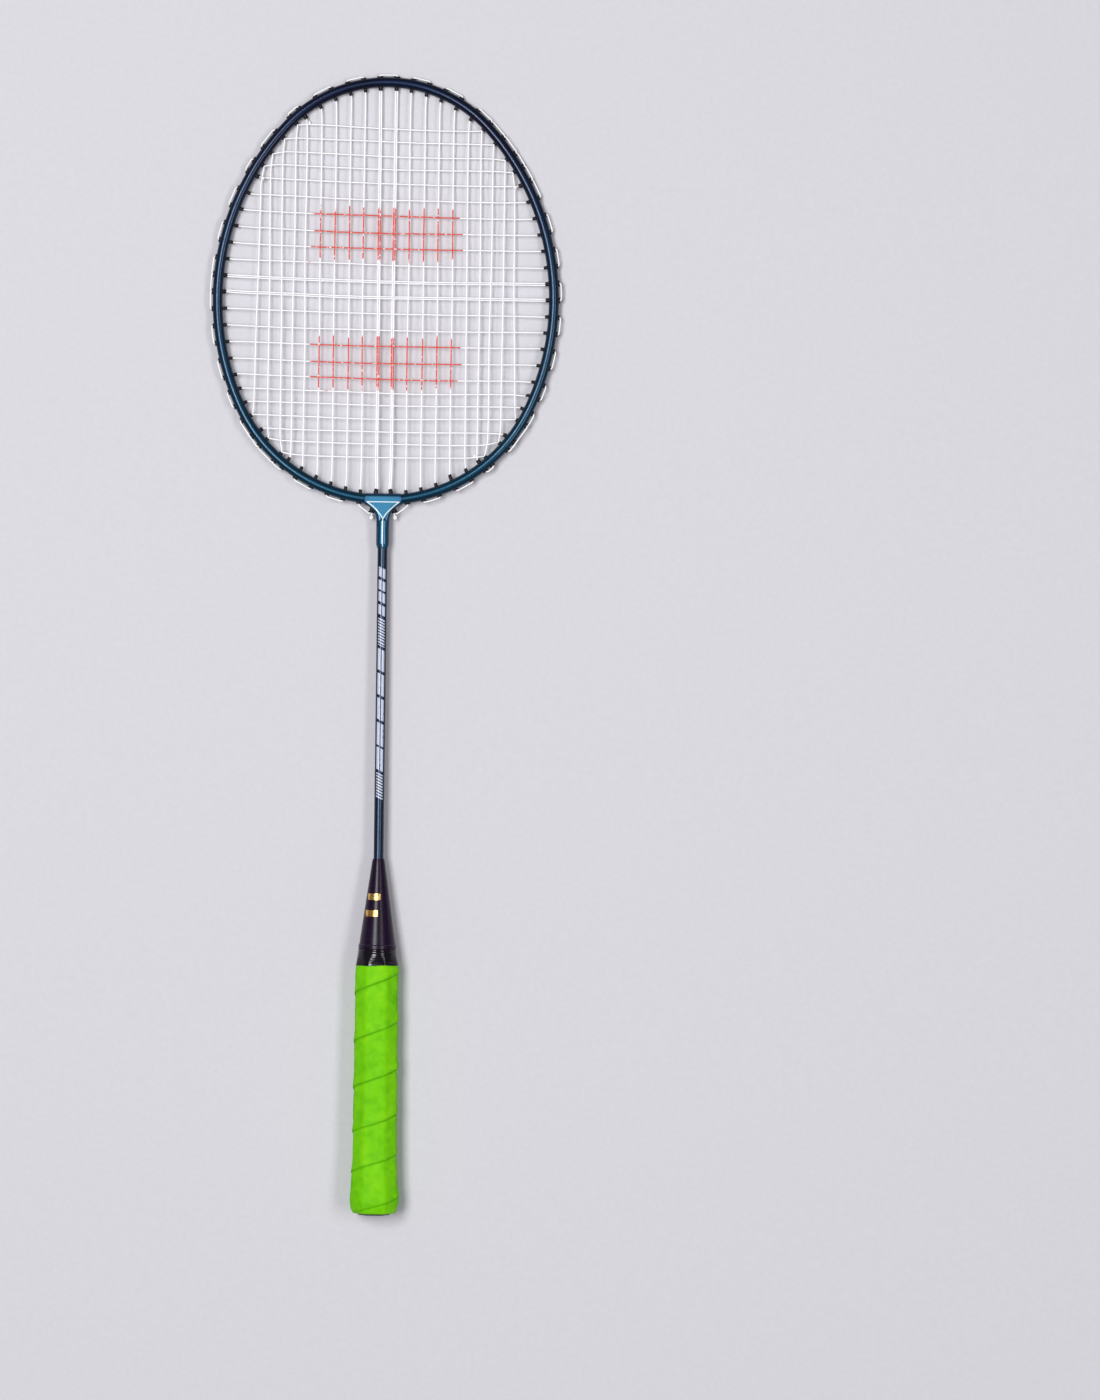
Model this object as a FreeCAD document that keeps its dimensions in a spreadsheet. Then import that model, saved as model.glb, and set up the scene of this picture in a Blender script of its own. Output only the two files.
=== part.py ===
import FreeCAD, Part
import Sketcher
import math
import os
from FreeCAD import Placement, Rotation, Vector

# A badminton racket with a steel head hoop and shaft. Every piece is drawn in one local frame:
# the origin is the butt end on the racket's axis, +Y runs up the shaft to the head, +X runs
# across the head and +Z stands out of the string bed. "along" is a distance from the butt end.

sizes = {
    "overall_length": 665.7,
    "axis_height": 13.25,     # the flared butt rests on z = 0
    # head hoop: an egg of tangent arcs, top, side and low
    "head_top": 661.2,        # along, to the tube's centre line
    "top_radius": 79.7,
    "side_radius": 149.5,
    "low_radius": 92.9,
    "shoulder_angle": 47.3,   # where the top arc meets the side arc, from the top
    "tube_diameter": 6.0,
    "tube_bore": 5.0,
    "hoop_end": 10.5,         # across, where the hoop meets the tee
    # throat tee
    "tee_along": 417.94,      # the crossbar's centre line
    "tee_half_width": 10.45,
    "tee_thickness": 6.6,
    "tee_top": 3.2,           # crossbar, above its centre line
    "tee_shoulder": 3.6,      # crossbar's ends, below its centre line
    "tee_stem_diameter": 7.8,
    "tee_throat": 13.0,       # below the centre line, where the wings meet the stem
    "tee_stem_end": 28.8,
    "tee_mouth_diameter": 6.6,
    "tee_chamfer": 2.4,
    "tee_edge_radius": 2.3,
    "tee_socket_depth": 20.0,
    "stem_overlap": 3.0,      # the round stem runs this far up inside the flat part
    "stem_taper": 0.8,        # and is this much thinner in radius at its top
    "spigot_diameter": 4.7,
    "spigot_start": 2.3,      # each spigot starts inside the crossbar, as an angle from the axis
    "spigot_angle": 8.0,      # length of each spigot, as an angle on the low arc
    # shaft
    "shaft_diameter": 5.8,
    "shaft_bore": 4.8,
    "shaft_start": 88.0,
    "shaft_end": 409.0,
    "shaft_clearance": 0.05,
    # cone cap
    "cone_start": 155.2,
    "cone_end": 207.7,
    "cone_base_diameter": 22.1,
    "cone_tip_diameter": 6.8,
    "cone_wall": 1.3,
    "cone_collar": 5.0,
    "lip_chamfer": 0.3,
    "lip_length": 2.2,        # a plain rim round the base, a step above the taper
    "lip_step": 0.45,
    "tip_chamfer": 0.25,
    # handle
    "handle_width": 26.0,
    "handle_height": 23.6,
    "bevel": 0.3,             # corner cut, as a share of the height
    "wrap_thickness": 1.8,
    "glue_gap": 0.05,
    "core_start": 2.6,
    "core_end": 155.0,
    "nose_radius": 8.0,
    "nose_end": 166.0,
    "cap_clearance": 0.5,     # spare depth in the hole for the butt cap's spigot
    "socket_start": 87.5,
    "pin_along": 98.0,
    "pin_diameter": 2.0,
    "pin_length": 18.0,
    "pin_clearance": 0.04,
    "pin_recess": 0.2,        # the hole runs past each end of the pin
    # butt
    "cap_edge_cut": 2.6,      # the cap's outer edge is bevelled by half of this
    "cap_spigot_radius": 4.0,
    "cap_spigot_length": 9.0,
    "disc_radius": 6.4,
    "disc_thickness": 0.6,
    "disc_clearance": 0.1,
    # strings and grommets
    "string_diameter": 0.75,
    "weave_height": 1.0,      # corner height of the crosses over the mains
    "tilt_top": 2.0,          # a cross's left end is this much higher than its middle, at the top
    "tilt_low": 0.6,          # and at the throat
    "outer_main_top": 73.0,   # the outermost mains are drawn in this near to the axis at the top
    "bend_radius": 4.0,
    "weave_margin": 2.5,      # no crossing is woven nearer to a grommet than this
    "grommet_stand": 1.9,     # barrel's length inside the hoop
    "grommet_flange": 0.7,    # flange's height outside the hoop
    "grommet_radius": 1.1,
    "grommet_bore": 0.55,
    "twin_radius": 1.35,      # a grommet that two strands share
    "twin_bore": 0.95,
    "flange_extra": 0.5,
    "barrel_chamfer": 0.15,
    "drill_clearance": 0.03,
    "hoop_drill": 6.0,        # how far each drill reaches to both sides of a hole's middle
    "tee_drill": 12.0,
    "tee_grommet_stand": 2.6,
    "tee_grommet_tail": 8.55, # barrel's end outside the wing, from the crossbar's centre
    "twin_offset": 0.54,      # half the distance between two strands in one grommet
    "mouth_gap": 0.6,         # from a grommet's end to the corner where its string turns
    "tee_mouth_gap": 0.85,
    "mouth_radius": 0.8,
    "outer_radius": 0.5,
    "settle_length": 3.5,
    "knot_radius": 1.05,
    "knot_length": 1.7,
    "knot_distance": 2.2,     # knot's middle, from the corner at its hole
    "knot_clearance": 0.02,
    "tail_length": 3.6,
}

# Grip profile: along the axis, and the wrap's growth over handle_width and handle_height.
gripStations = [(1.0, -2.4), (3.2, 0.9), (6.4, 2.5), (9.6, 2.9), (18.0, 1.3), (31.0, 0.0),
                (143.0, -0.9), (145.7, -1.7), (151.0, -4.4)]
tapeStations = [(145.7, 24.9, 22.5), (148.5, 23.5, 21.7), (155.0, 21.9, 21.2)]
tapeThickness = 0.2

# Main strings: distance from the axis. Cross strings: height above the tee's centre line.
mainOffsets = [4.5 + 8.5 * k for k in range(6)] + [47.0 + 7.3 * k for k in range(1, 5)]
crossTop = 217.0
crossGaps = [7.6] * 3 + [9.48] * 13 + [7.8] * 6
crossHeights = [crossTop - sum(crossGaps[:k]) for k in range(len(crossGaps) + 1)]
# Holes that a main and a cross share: main number to cross number, both counted from 1.
sharedTop = {7: 1, 8: 2, 9: 3, 10: 4}
sharedLow = {8: 23, 9: 22, 10: 20}
doubledCrosses = [11, 12]     # the two middle crosses carry two strands
doubledMains = [1]            # so do the middle mains

doc = FreeCAD.newDocument("badminton_racket")
sheet = doc.addObject("Spreadsheet::Sheet", "sizes")
for row, (alias, value) in enumerate(sizes.items(), start=1):
    sheet.set("A%d" % row, alias)
    sheet.set("B%d" % row, str(value))
    sheet.setAlias("B%d" % row, alias)
doc.recompute()


def size(alias):
    return float(sheet.get(alias))


def placeInRow(item):
    """The row's origin is below the axis, half way along: every node gets this same placement."""
    item.setExpression("Placement.Base.y", "-sizes.overall_length / 2")
    item.setExpression("Placement.Base.z", "sizes.axis_height")


def newBody(label):
    body = doc.addObject("PartDesign::Body", label)
    body.Label = label
    return body


def newSketch(body, name, plane, offset=None, turn=None):
    sketch = body.newObject("Sketcher::SketchObject", name)
    support = [f for f in body.Origin.OriginFeatures if f.Role == plane][0]
    sketch.AttachmentSupport = [(support, "")]
    sketch.MapMode = "FlatFace"
    if turn is not None:
        sketch.AttachmentOffset = Placement(Vector(0, 0, 0), turn)
    if offset is not None:
        sketch.setExpression("AttachmentOffset.Base.z", offset)
    return sketch


def fix(sketch, kind, expression, *where):
    """Adds a dimension and binds it to the sheet."""
    start = sheet.evalExpression(expression)
    start = float(start.Value if hasattr(start, "Value") else start)
    index = sketch.addConstraint(Sketcher.Constraint(kind, *where, start))
    sketch.setExpression("Constraints[%d]" % index, bound(expression))


def bound(expression):
    """Puts the sheet's name before each alias."""
    words = []
    for word in expression.split():
        bare = word.strip("()")
        words.append(word.replace(bare, "sizes." + bare) if bare in sizes else word)
    return " ".join(words)


def circle(sketch, diameter):
    """A circle about the sketch's origin; diameter is an expression."""
    index = sketch.addGeometry(Part.Circle(Vector(0, 0, 0), Vector(0, 0, 1), 1.0))
    fix(sketch, "Diameter", diameter, index)
    sketch.addConstraint(Sketcher.Constraint("Coincident", index, 3, -1, 1))


def circleAt(sketch, diameter, along):
    """A circle on the axis in the YZ plane, where the sketch's x runs along the racket."""
    index = sketch.addGeometry(Part.Circle(Vector(size(along), 0, 0), Vector(0, 0, 1), 1.0))
    fix(sketch, "Diameter", diameter, index)
    sketch.addConstraint(Sketcher.Constraint("PointOnObject", index, 3, -1))
    fix(sketch, "DistanceX", along, -1, 1, index, 3)


def octagon(body, name, along, width, height):
    """A bevelled rectangle across the axis; width and height are expressions."""
    sketch = newSketch(body, name, "XZ_Plane", "-1 * " + bound(along))
    w, h = (float(sheet.evalExpression(e)) / 2 for e in (width, height))
    cut = size("bevel") * 2 * h
    corners = [(w, h - cut), (w - cut, h), (cut - w, h), (-w, h - cut),
               (-w, cut - h), (cut - w, -h), (w - cut, -h), (w, cut - h)]
    for k, (x, y) in enumerate(corners):
        x2, y2 = corners[(k + 1) % 8]
        sketch.addGeometry(Part.LineSegment(Vector(x, y, 0), Vector(x2, y2, 0)))
    for k in range(8):
        sketch.addConstraint(Sketcher.Constraint("Coincident", k, 2, (k + 1) % 8, 1))
    for a, b in ((2, 1), (3, 0)):
        sketch.addConstraint(Sketcher.Constraint("Symmetric", a, 1, b, 1, -2))
    for a, b in ((7, 0), (6, 1), (4, 3), (5, 2)):
        sketch.addConstraint(Sketcher.Constraint("Symmetric", a, 1, b, 1, -1))
    corner = "( %s ) * bevel" % height
    fix(sketch, "DistanceX", "( %s ) / 2" % width, -1, 1, 0, 1)
    fix(sketch, "DistanceY", "( %s ) / 2 - %s" % (height, corner), -1, 1, 0, 1)
    fix(sketch, "DistanceX", "( %s ) / 2 - %s" % (width, corner), -1, 1, 1, 1)
    fix(sketch, "DistanceY", "( %s ) / 2" % height, -1, 1, 1, 1)
    return sketch


def loft(body, name, sketches, subtract=False):
    kind = "PartDesign::SubtractiveLoft" if subtract else "PartDesign::AdditiveLoft"
    feature = body.newObject(kind, name)
    feature.Profile = sketches[0]
    feature.Sections = sketches[1:]
    feature.Ruled = True
    return feature


def pad(body, name, sketch, length, reverse=False, both=False):
    feature = body.newObject("PartDesign::Pad", name)
    feature.Profile = sketch
    feature.setExpression("Length", bound(length))
    feature.Reversed = reverse
    feature.Midplane = both
    return feature


def pocket(body, name, sketch, length, reverse=False, both=False):
    doc.recompute()
    before = body.Shape.Volume
    feature = body.newObject("PartDesign::Pocket", name)
    feature.Profile = sketch
    feature.setExpression("Length", bound(length))
    feature.Reversed = reverse
    feature.Midplane = both
    doc.recompute()
    if not body.Shape.Volume < before - 0.01:
        raise ValueError(name + " cuts nothing")
    return feature


def revolve(body, name, sketch):
    """A full turn about the sketch's own vertical axis, which is the racket's axis."""
    feature = body.newObject("PartDesign::Revolution", name)
    feature.Profile = sketch
    feature.ReferenceAxis = (sketch, ["V_Axis"])
    feature.Angle = 360
    return feature


def outline(sketch, points):
    """A closed outline in the sketch; each point is a pair of expressions (x, y)."""
    values = [[float(getattr(v, "Value", v)) for v in map(sheet.evalExpression, p)] for p in points]
    count = len(points)
    first = sketch.GeometryCount
    for k in range(count):
        start, end = Vector(*values[k], 0), Vector(*values[(k + 1) % count], 0)
        sketch.addGeometry(Part.LineSegment(start, end))
    for k in range(count):
        nextLine = first + (k + 1) % count
        sketch.addConstraint(Sketcher.Constraint("Coincident", first + k, 2, nextLine, 1))
    for k, (x, y) in enumerate(points):
        if values[k][0] == 0:
            sketch.addConstraint(Sketcher.Constraint("PointOnObject", first + k, 1, -2))
        else:
            fix(sketch, "DistanceX", x, -1, 1, first + k, 1)
        if values[k][1] == 0:
            sketch.addConstraint(Sketcher.Constraint("PointOnObject", first + k, 1, -1))
        else:
            fix(sketch, "DistanceY", y, -1, 1, first + k, 1)


# The hoop's geometry.
shoulder = math.radians(size("shoulder_angle"))
topRadius, sideRadius, lowRadius = size("top_radius"), size("side_radius"), size("low_radius")
waist = math.pi - math.asin((sideRadius - topRadius) * math.sin(shoulder) / (sideRadius - lowRadius))


def arcCentre(start, radiusFrom, radiusTo, angle):
    step = radiusFrom - radiusTo
    return (start[0] + step * math.sin(angle), start[1] + step * math.cos(angle))


topCentre = (0.0, size("head_top") - topRadius)
sideCentre = arcCentre(topCentre, topRadius, sideRadius, shoulder)
lowCentre = arcCentre(sideCentre, sideRadius, lowRadius, waist)
# The right half: centre, radius, and the angles from the top between which the arc runs.
hoopArcs = [(topCentre, topRadius, 0.0, shoulder),
            (sideCentre, sideRadius, shoulder, waist),
            (lowCentre, lowRadius, waist, math.pi)]
endAngle = math.pi - math.asin(size("hoop_end") / lowRadius)
hoopEnd = lowCentre[1] + lowRadius * math.cos(endAngle)
if abs(hoopEnd - size("tee_along")) > 0.05 or abs(lowCentre[0]) > 1e-6:
    raise ValueError("the hoop's arcs end at %.3f, not at the tee" % hoopEnd)


def hoopPoint(angle, side, depth=0.0):
    """A point on the hoop, depth inside its centre line, and the outward normal there."""
    for centre, radius, start, stop in hoopArcs:
        if start <= angle <= stop:
            x = centre[0] + (radius - depth) * math.sin(angle)
            y = centre[1] + (radius - depth) * math.cos(angle)
            return Vector(side * x, y, 0), Vector(side * math.sin(angle), math.cos(angle), 0)
    raise ValueError("angle off the hoop")


def angleAt(x=None, y=None, low=False, depth=0.0):
    """The angle at which the line depth inside the hoop meets a given x, or a given y."""
    for centre, radius, start, stop in hoopArcs:
        ratio = (x - centre[0] if y is None else y - centre[1]) / (radius - depth)
        if abs(ratio) > 1:
            continue
        angle = math.acos(ratio) if x is None else math.asin(ratio)
        if y is None and low:
            angle = math.pi - angle
        if start <= angle <= stop:
            return angle
    raise ValueError("no such point on the hoop")


# Where the holes are.
landing = size("tube_diameter") / 2 + size("grommet_stand") + size("mouth_gap")
teeAlong = size("tee_along")
holes = {}        # name: (centre-line point, outward normal, two strands or not)


def addHole(name, angle, side, twin):
    point, normal = hoopPoint(angle, side)
    holes[name] = (point, normal, twin)


def mainAngle(number, low):
    outermost = number == len(mainOffsets) and not low
    return angleAt(x=size("outer_main_top") if outermost else mainOffsets[number - 1], low=low, depth=landing)


def crossAngle(number, side):
    share = (number - 1) / (len(crossHeights) - 1)
    tilt = size("tilt_top") + (size("tilt_low") - size("tilt_top")) * share
    return angleAt(y=teeAlong + crossHeights[number - 1] - side * tilt, depth=landing)


holeOf = {}       # ("main", number, side, low) or ("cross", number, side): the hole's name
for side in (-1, 1):
    for low, shared in ((False, sharedTop), (True, sharedLow)):
        for number in range(1, len(mainOffsets) + 1):
            key = ("main", number, side, low)
            holeOf[key] = "%s_%d_%d" % ("low" if low else "top", number, side)
            if low and number == 1:
                continue
            angle = mainAngle(number, low)
            if number in shared:
                angle = (angle + crossAngle(shared[number], side)) / 2
                holeOf[("cross", shared[number], side)] = holeOf[key]
            addHole(holeOf[key], angle, side, number in shared or number in doubledMains)
    for number in range(1, len(crossHeights) + 1):
        key = ("cross", number, side)
        if key not in holeOf:
            holeOf[key] = "side_%d_%d" % (number, side)
            addHole(holeOf[key], crossAngle(number, side), side, number in doubledCrosses)
# Each string is tied off through the next hole along, which then takes two strands. The mains'
# outer run from 9 to 10 passes over cross 21's holes, which are wide so that the cross stays below.
tieHoles = {"main": ["side_5_-1", "side_5_1"], "cross": ["top_6_-1", "low_7_1"]}
for name in tieHoles["main"] + tieHoles["cross"] + ["side_21_-1", "side_21_1"]:
    holes[name] = holes[name][:2] + (True,)
# The middle mains pass through the tee and leave its wings a little further apart.
teeLean = math.radians(12)
for side in (-1, 1):
    outward = Vector(side * math.sin(teeLean), -math.cos(teeLean), 0)
    top = Vector(side * mainOffsets[0], teeAlong + size("tee_top"), 0)
    holes["low_1_%d" % side] = (top + outward * size("tee_top"), outward, True)
print("holes:", len(holes), "shared or doubled:", sum(h[2] for h in holes.values()))


# Metal, wood and plastic pieces.
def makeHoop():
    body = newBody("hoop_blank")
    path = newSketch(body, "hoop_path", "XY_Plane")
    top = path.addGeometry(Part.ArcOfCircle(
        Part.Circle(Vector(*topCentre, 0), Vector(0, 0, 1), topRadius),
        math.pi / 2 - shoulder, math.pi / 2 + shoulder))
    arcs = {}
    for side in (1, -1):
        for name, (centre, radius, start, stop) in zip(("side", "low"), hoopArcs[1:]):
            stop = min(stop, endAngle)
            a, b = math.pi / 2 - stop, math.pi / 2 - start
            if side < 0:
                a, b = math.pi - b, math.pi - a
            arc = Part.ArcOfCircle(Part.Circle(Vector(side * centre[0], centre[1], 0),
                                               Vector(0, 0, 1), radius), a, b)
            arcs[name, side] = path.addGeometry(arc)
    for name, radius in (("side", "side_radius"), ("low", "low_radius")):
        path.addConstraint(Sketcher.Constraint("Equal", arcs[name, 1], arcs[name, -1]))
        fix(path, "Radius", radius, arcs[name, 1])
    fix(path, "Radius", "top_radius", top)
    path.addConstraint(Sketcher.Constraint("Tangent", top, 1, arcs["side", 1], 2))
    path.addConstraint(Sketcher.Constraint("Tangent", top, 2, arcs["side", -1], 1))
    path.addConstraint(Sketcher.Constraint("Tangent", arcs["side", 1], 1, arcs["low", 1], 2))
    path.addConstraint(Sketcher.Constraint("Tangent", arcs["side", -1], 2, arcs["low", -1], 1))
    path.addConstraint(Sketcher.Constraint("PointOnObject", top, 3, -2))
    path.addConstraint(Sketcher.Constraint("Symmetric", top, 1, top, 2, -2))
    path.addConstraint(Sketcher.Constraint("PointOnObject", arcs["low", 1], 3, -2))
    fix(path, "DistanceY", "head_top - top_radius", -1, 1, top, 3)
    fix(path, "DistanceX", "top_radius * sin( shoulder_angle * 1 deg )", -1, 1, top, 1)
    fix(path, "DistanceX", "hoop_end", -1, 1, arcs["low", 1], 1)
    path.addConstraint(Sketcher.Constraint("Symmetric", arcs["low", 1], 1, arcs["low", -1], 2, -2))
    ring = newSketch(body, "hoop_section", "YZ_Plane")
    turn = Rotation(Vector(0, 1, 0), 90 - math.degrees(endAngle - math.pi / 2))
    ring.AttachmentOffset = Placement(Vector(hoopEnd, 0, size("hoop_end")), turn)
    circle(ring, "tube_diameter")
    circle(ring, "tube_bore")
    pipe = body.newObject("PartDesign::AdditivePipe", "hoop_pipe")
    pipe.Profile = ring
    pipe.Spine = path
    return body


def drills(name, names, reach):
    """One cylinder through the wall for each named hole, to be cut from a piece."""
    cylinders = []
    for key in names:
        point, normal, twin = holes[key]
        radius = size("twin_radius" if twin else "grommet_radius") + size("drill_clearance")
        cylinders.append(Part.makeCylinder(radius, 2 * reach, point - normal * reach, normal))
    item = doc.addObject("Part::Feature", name)
    item.Shape = Part.makeCompound(cylinders)
    return item


def cutFrom(base, tool, label):
    item = doc.addObject("Part::Cut", label)
    item.Base = base
    item.Tool = tool
    item.Label = label
    placeInRow(item)
    return item


def makeTee():
    body = newBody("tee_blank")
    plan = newSketch(body, "tee_plan", "XY_Plane")
    # Half outline: crossbar's top, its slanted end, the wing's arc, the stem.
    half = size("tee_half_width")
    top, low = teeAlong + size("tee_top"), teeAlong - size("tee_shoulder")
    stem = size("tee_stem_diameter") / 2 - size("glue_gap")
    throat = teeAlong - size("tee_throat")
    slope = size("hoop_end") / lowRadius
    upper, corner = half - size("tee_top") * slope, half + size("tee_shoulder") * slope
    reach, drop = corner - stem, low - throat
    wing = (reach ** 2 + drop ** 2) / (2 * reach)
    middle = math.acos((wing - reach) / wing) / 2
    bulge = Vector(stem + wing - wing * math.cos(middle), throat + wing * math.sin(middle), 0)
    base = throat - size("stem_overlap")
    edges = [Part.LineSegment(Vector(-upper, top, 0), Vector(upper, top, 0)),
             Part.LineSegment(Vector(upper, top, 0), Vector(corner, low, 0)),
             Part.Arc(Vector(corner, low, 0), bulge, Vector(stem, throat, 0)),
             Part.LineSegment(Vector(stem, throat, 0), Vector(stem, base, 0)),
             Part.LineSegment(Vector(stem, base, 0), Vector(-stem, base, 0)),
             Part.LineSegment(Vector(-stem, base, 0), Vector(-stem, throat, 0)),
             Part.Arc(Vector(-stem, throat, 0), Vector(-bulge.x, bulge.y, 0), Vector(-corner, low, 0)),
             Part.LineSegment(Vector(-corner, low, 0), Vector(-upper, top, 0))]
    plan.addGeometry(edges, False)
    for k in range(len(edges)):
        plan.addConstraint(Sketcher.Constraint("Block", k))
    slab = pad(body, "tee_slab", plan, "tee_thickness", both=True)
    doc.recompute()
    edgesAround = []
    for k, edge in enumerate(slab.Shape.Edges, start=1):
        flat = abs(edge.BoundBox.ZMax - edge.BoundBox.ZMin) < 1e-6
        atEnd = edge.BoundBox.YMax < base + 0.01
        slanted = edge.Curve.TypeId == "Part::GeomLine" \
            and edge.BoundBox.YLength > size("tee_top") and edge.BoundBox.XLength > 0.3
        if flat and not atEnd and not slanted:
            edgesAround.append("Edge%d" % k)
    rounded = body.newObject("PartDesign::Fillet", "tee_rounding")
    rounded.Base = (slab, edgesAround)
    rounded.setExpression("Radius", "sizes.tee_edge_radius")
    stemPlan = newSketch(body, "stem_profile", "XY_Plane")
    start = "tee_along - tee_stem_end"
    outline(stemPlan, [("0", start), ("tee_mouth_diameter / 2", start),
                       ("tee_stem_diameter / 2", start + " + tee_chamfer"),
                       ("tee_stem_diameter / 2", "tee_along - tee_throat"),
                       ("tee_stem_diameter / 2 - stem_taper", "tee_along - tee_throat + stem_overlap"),
                       ("0", "tee_along - tee_throat + stem_overlap")])
    revolve(body, "stem", stemPlan)
    inner = math.radians(size("spigot_start"))
    for side, name in ((1, "right"), (-1, "left")):
        curve = newSketch(body, "spigot_path_" + name, "XY_Plane")
        a, b = inner - math.pi / 2, math.pi / 2 - endAngle + math.radians(size("spigot_angle"))
        if side < 0:
            a, b = math.pi - b, math.pi - a
        curve.addGeometry(Part.ArcOfCircle(Part.Circle(Vector(0, lowCentre[1], 0),
                                                       Vector(0, 0, 1), lowRadius), a, b))
        curve.addConstraint(Sketcher.Constraint("Block", 0))
        section = newSketch(body, "spigot_section_" + name, "YZ_Plane")
        section.AttachmentOffset = Placement(
            Vector(lowCentre[1] - lowRadius * math.cos(inner), 0, side * lowRadius * math.sin(inner)),
            Rotation(Vector(0, 1, 0), side * size("spigot_start")))
        circle(section, "spigot_diameter")
        spigot = body.newObject("PartDesign::AdditivePipe", "spigot_" + name)
        spigot.Profile = section
        spigot.Spine = curve
    mouth = newSketch(body, "socket_mouth", "XZ_Plane", "-1 * " + bound("( tee_along - tee_stem_end )"))
    circle(mouth, "shaft_diameter + 2 * shaft_clearance")
    pocket(body, "shaft_socket", mouth, "tee_socket_depth")
    return body


def makeShaft():
    body = newBody("shaft_tube")
    ring = newSketch(body, "shaft_section", "XZ_Plane", "-1 * sizes.shaft_start")
    circle(ring, "shaft_diameter")
    circle(ring, "shaft_bore")
    pad(body, "shaft_pad", ring, "shaft_end - shaft_start", reverse=True)
    hole = newSketch(body, "pin_hole", "YZ_Plane")
    circleAt(hole, "pin_diameter", "pin_along")
    pocket(body, "pin_drilling", hole, "pin_length", both=True)
    placeInRow(body)
    return body


def makeCone():
    body = newBody("cone_cap")
    profile = newSketch(body, "cone_profile", "XY_Plane")
    bore = "shaft_diameter / 2 + shaft_clearance"
    outline(profile, [
        ("cone_base_diameter / 2 - cone_wall", "cone_start"),
        ("cone_base_diameter / 2 - lip_chamfer", "cone_start"),
        ("cone_base_diameter / 2", "cone_start + lip_chamfer"),
        ("cone_base_diameter / 2", "cone_start + lip_length"),
        ("cone_base_diameter / 2 - lip_step", "cone_start + lip_length + lip_step"),
        ("cone_tip_diameter / 2 + tip_chamfer", "cone_end - cone_wall"),
        ("cone_tip_diameter / 2", "cone_end"),
        (bore, "cone_end"),
        (bore, "cone_end - cone_collar"),
        (bore + " + lip_step", "cone_end - cone_collar - lip_step"),
    ])
    revolve(body, "cone_turning", profile)
    placeInRow(body)
    return body


def gripWidth(grow, inset):
    return "handle_width + %g - 2 * ( %s )" % (grow, inset)


def gripHeight(grow, inset):
    return "handle_height + %g - 2 * ( %s )" % (grow, inset)


def gripSection(body, name, along, grow, inset):
    return octagon(body, name, along, gripWidth(grow, inset), gripHeight(grow, inset))


def growthAt(along):
    """The grip profile's growth, read between its stations."""
    for (a, ga), (b, gb) in zip(gripStations, gripStations[1:]):
        if a <= along <= b:
            return ga + (gb - ga) * (along - a) / (b - a)
    return gripStations[-1][1] if along > gripStations[-1][0] else gripStations[0][1]


def makeWrap():
    body = newBody("grip_wrap")
    outer = [gripSection(body, "wrap_outside_%d" % k, "%g" % a, g, "0")
             for k, (a, g) in enumerate(gripStations)]
    loft(body, "wrap_outside", outer)
    inner = [gripSection(body, "wrap_inside_%d" % k, "%g" % a, g, "wrap_thickness")
             for k, (a, g) in enumerate(gripStations)]
    loft(body, "wrap_inside", inner, subtract=True)
    placeInRow(body)
    return body


def makeCore():
    body = newBody("handle_core")
    start, end = size("core_start"), size("core_end")
    stations = [start] + [a for a, g in gripStations if start < a < end] + [end]
    inset = "wrap_thickness + glue_gap"
    sections = [gripSection(body, "core_section_%d" % k, "%g" % a, growthAt(a), inset)
                for k, a in enumerate(stations)]
    loft(body, "core_block", sections)
    nose = newSketch(body, "nose_section", "XZ_Plane", "-1 * sizes.core_end")
    circle(nose, "2 * nose_radius")
    pad(body, "core_nose", nose, "nose_end - core_end", reverse=True)
    socket = newSketch(body, "socket_section", "XZ_Plane", "-1 * sizes.nose_end")
    circle(socket, "shaft_diameter + 2 * shaft_clearance")
    pocket(body, "shaft_socket", socket, "nose_end - socket_start", reverse=True)
    blind = newSketch(body, "cap_hole", "XZ_Plane", "-1 * sizes.core_start")
    circle(blind, "2 * cap_spigot_radius + 2 * glue_gap")
    pocket(body, "cap_socket", blind, "cap_spigot_length + cap_clearance")
    hole = newSketch(body, "pin_hole", "YZ_Plane")
    circleAt(hole, "pin_diameter", "pin_along")
    pocket(body, "pin_drilling", hole, "pin_length + 2 * pin_recess", both=True)
    placeInRow(body)
    return body


def makePin():
    body = newBody("shaft_pin")
    section = newSketch(body, "pin_section", "YZ_Plane")
    circleAt(section, "pin_diameter - pin_clearance", "pin_along")
    pad(body, "pin_pad", section, "pin_length", both=True)
    placeInRow(body)
    return body


def makeCap():
    body = newBody("butt_cap")
    inset = "wrap_thickness + glue_gap"
    top = size("core_start") - size("glue_gap")
    wrapStart, growth = gripStations[0]
    sections = [gripSection(body, "cap_section_0", "0", growth - size("cap_edge_cut"), inset),
                gripSection(body, "cap_section_1", "%g" % wrapStart, growth, inset),
                gripSection(body, "cap_section_2", "%g" % top, growthAt(top), inset)]
    loft(body, "cap_plate", sections)
    stub = newSketch(body, "cap_stub", "XZ_Plane", "%g" % -top)
    circle(stub, "2 * cap_spigot_radius")
    pad(body, "cap_spigot", stub, "cap_spigot_length", reverse=True)
    seat = newSketch(body, "disc_seat", "XZ_Plane")
    circle(seat, "2 * disc_radius + disc_clearance")
    pocket(body, "disc_recess", seat, "disc_thickness")
    placeInRow(body)
    return body


def makeDisc():
    body = newBody("butt_disc")
    face = newSketch(body, "disc_face", "XZ_Plane")
    circle(face, "2 * disc_radius")
    pad(body, "disc_pad", face, "disc_thickness", reverse=True)
    placeInRow(body)
    return body


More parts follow.
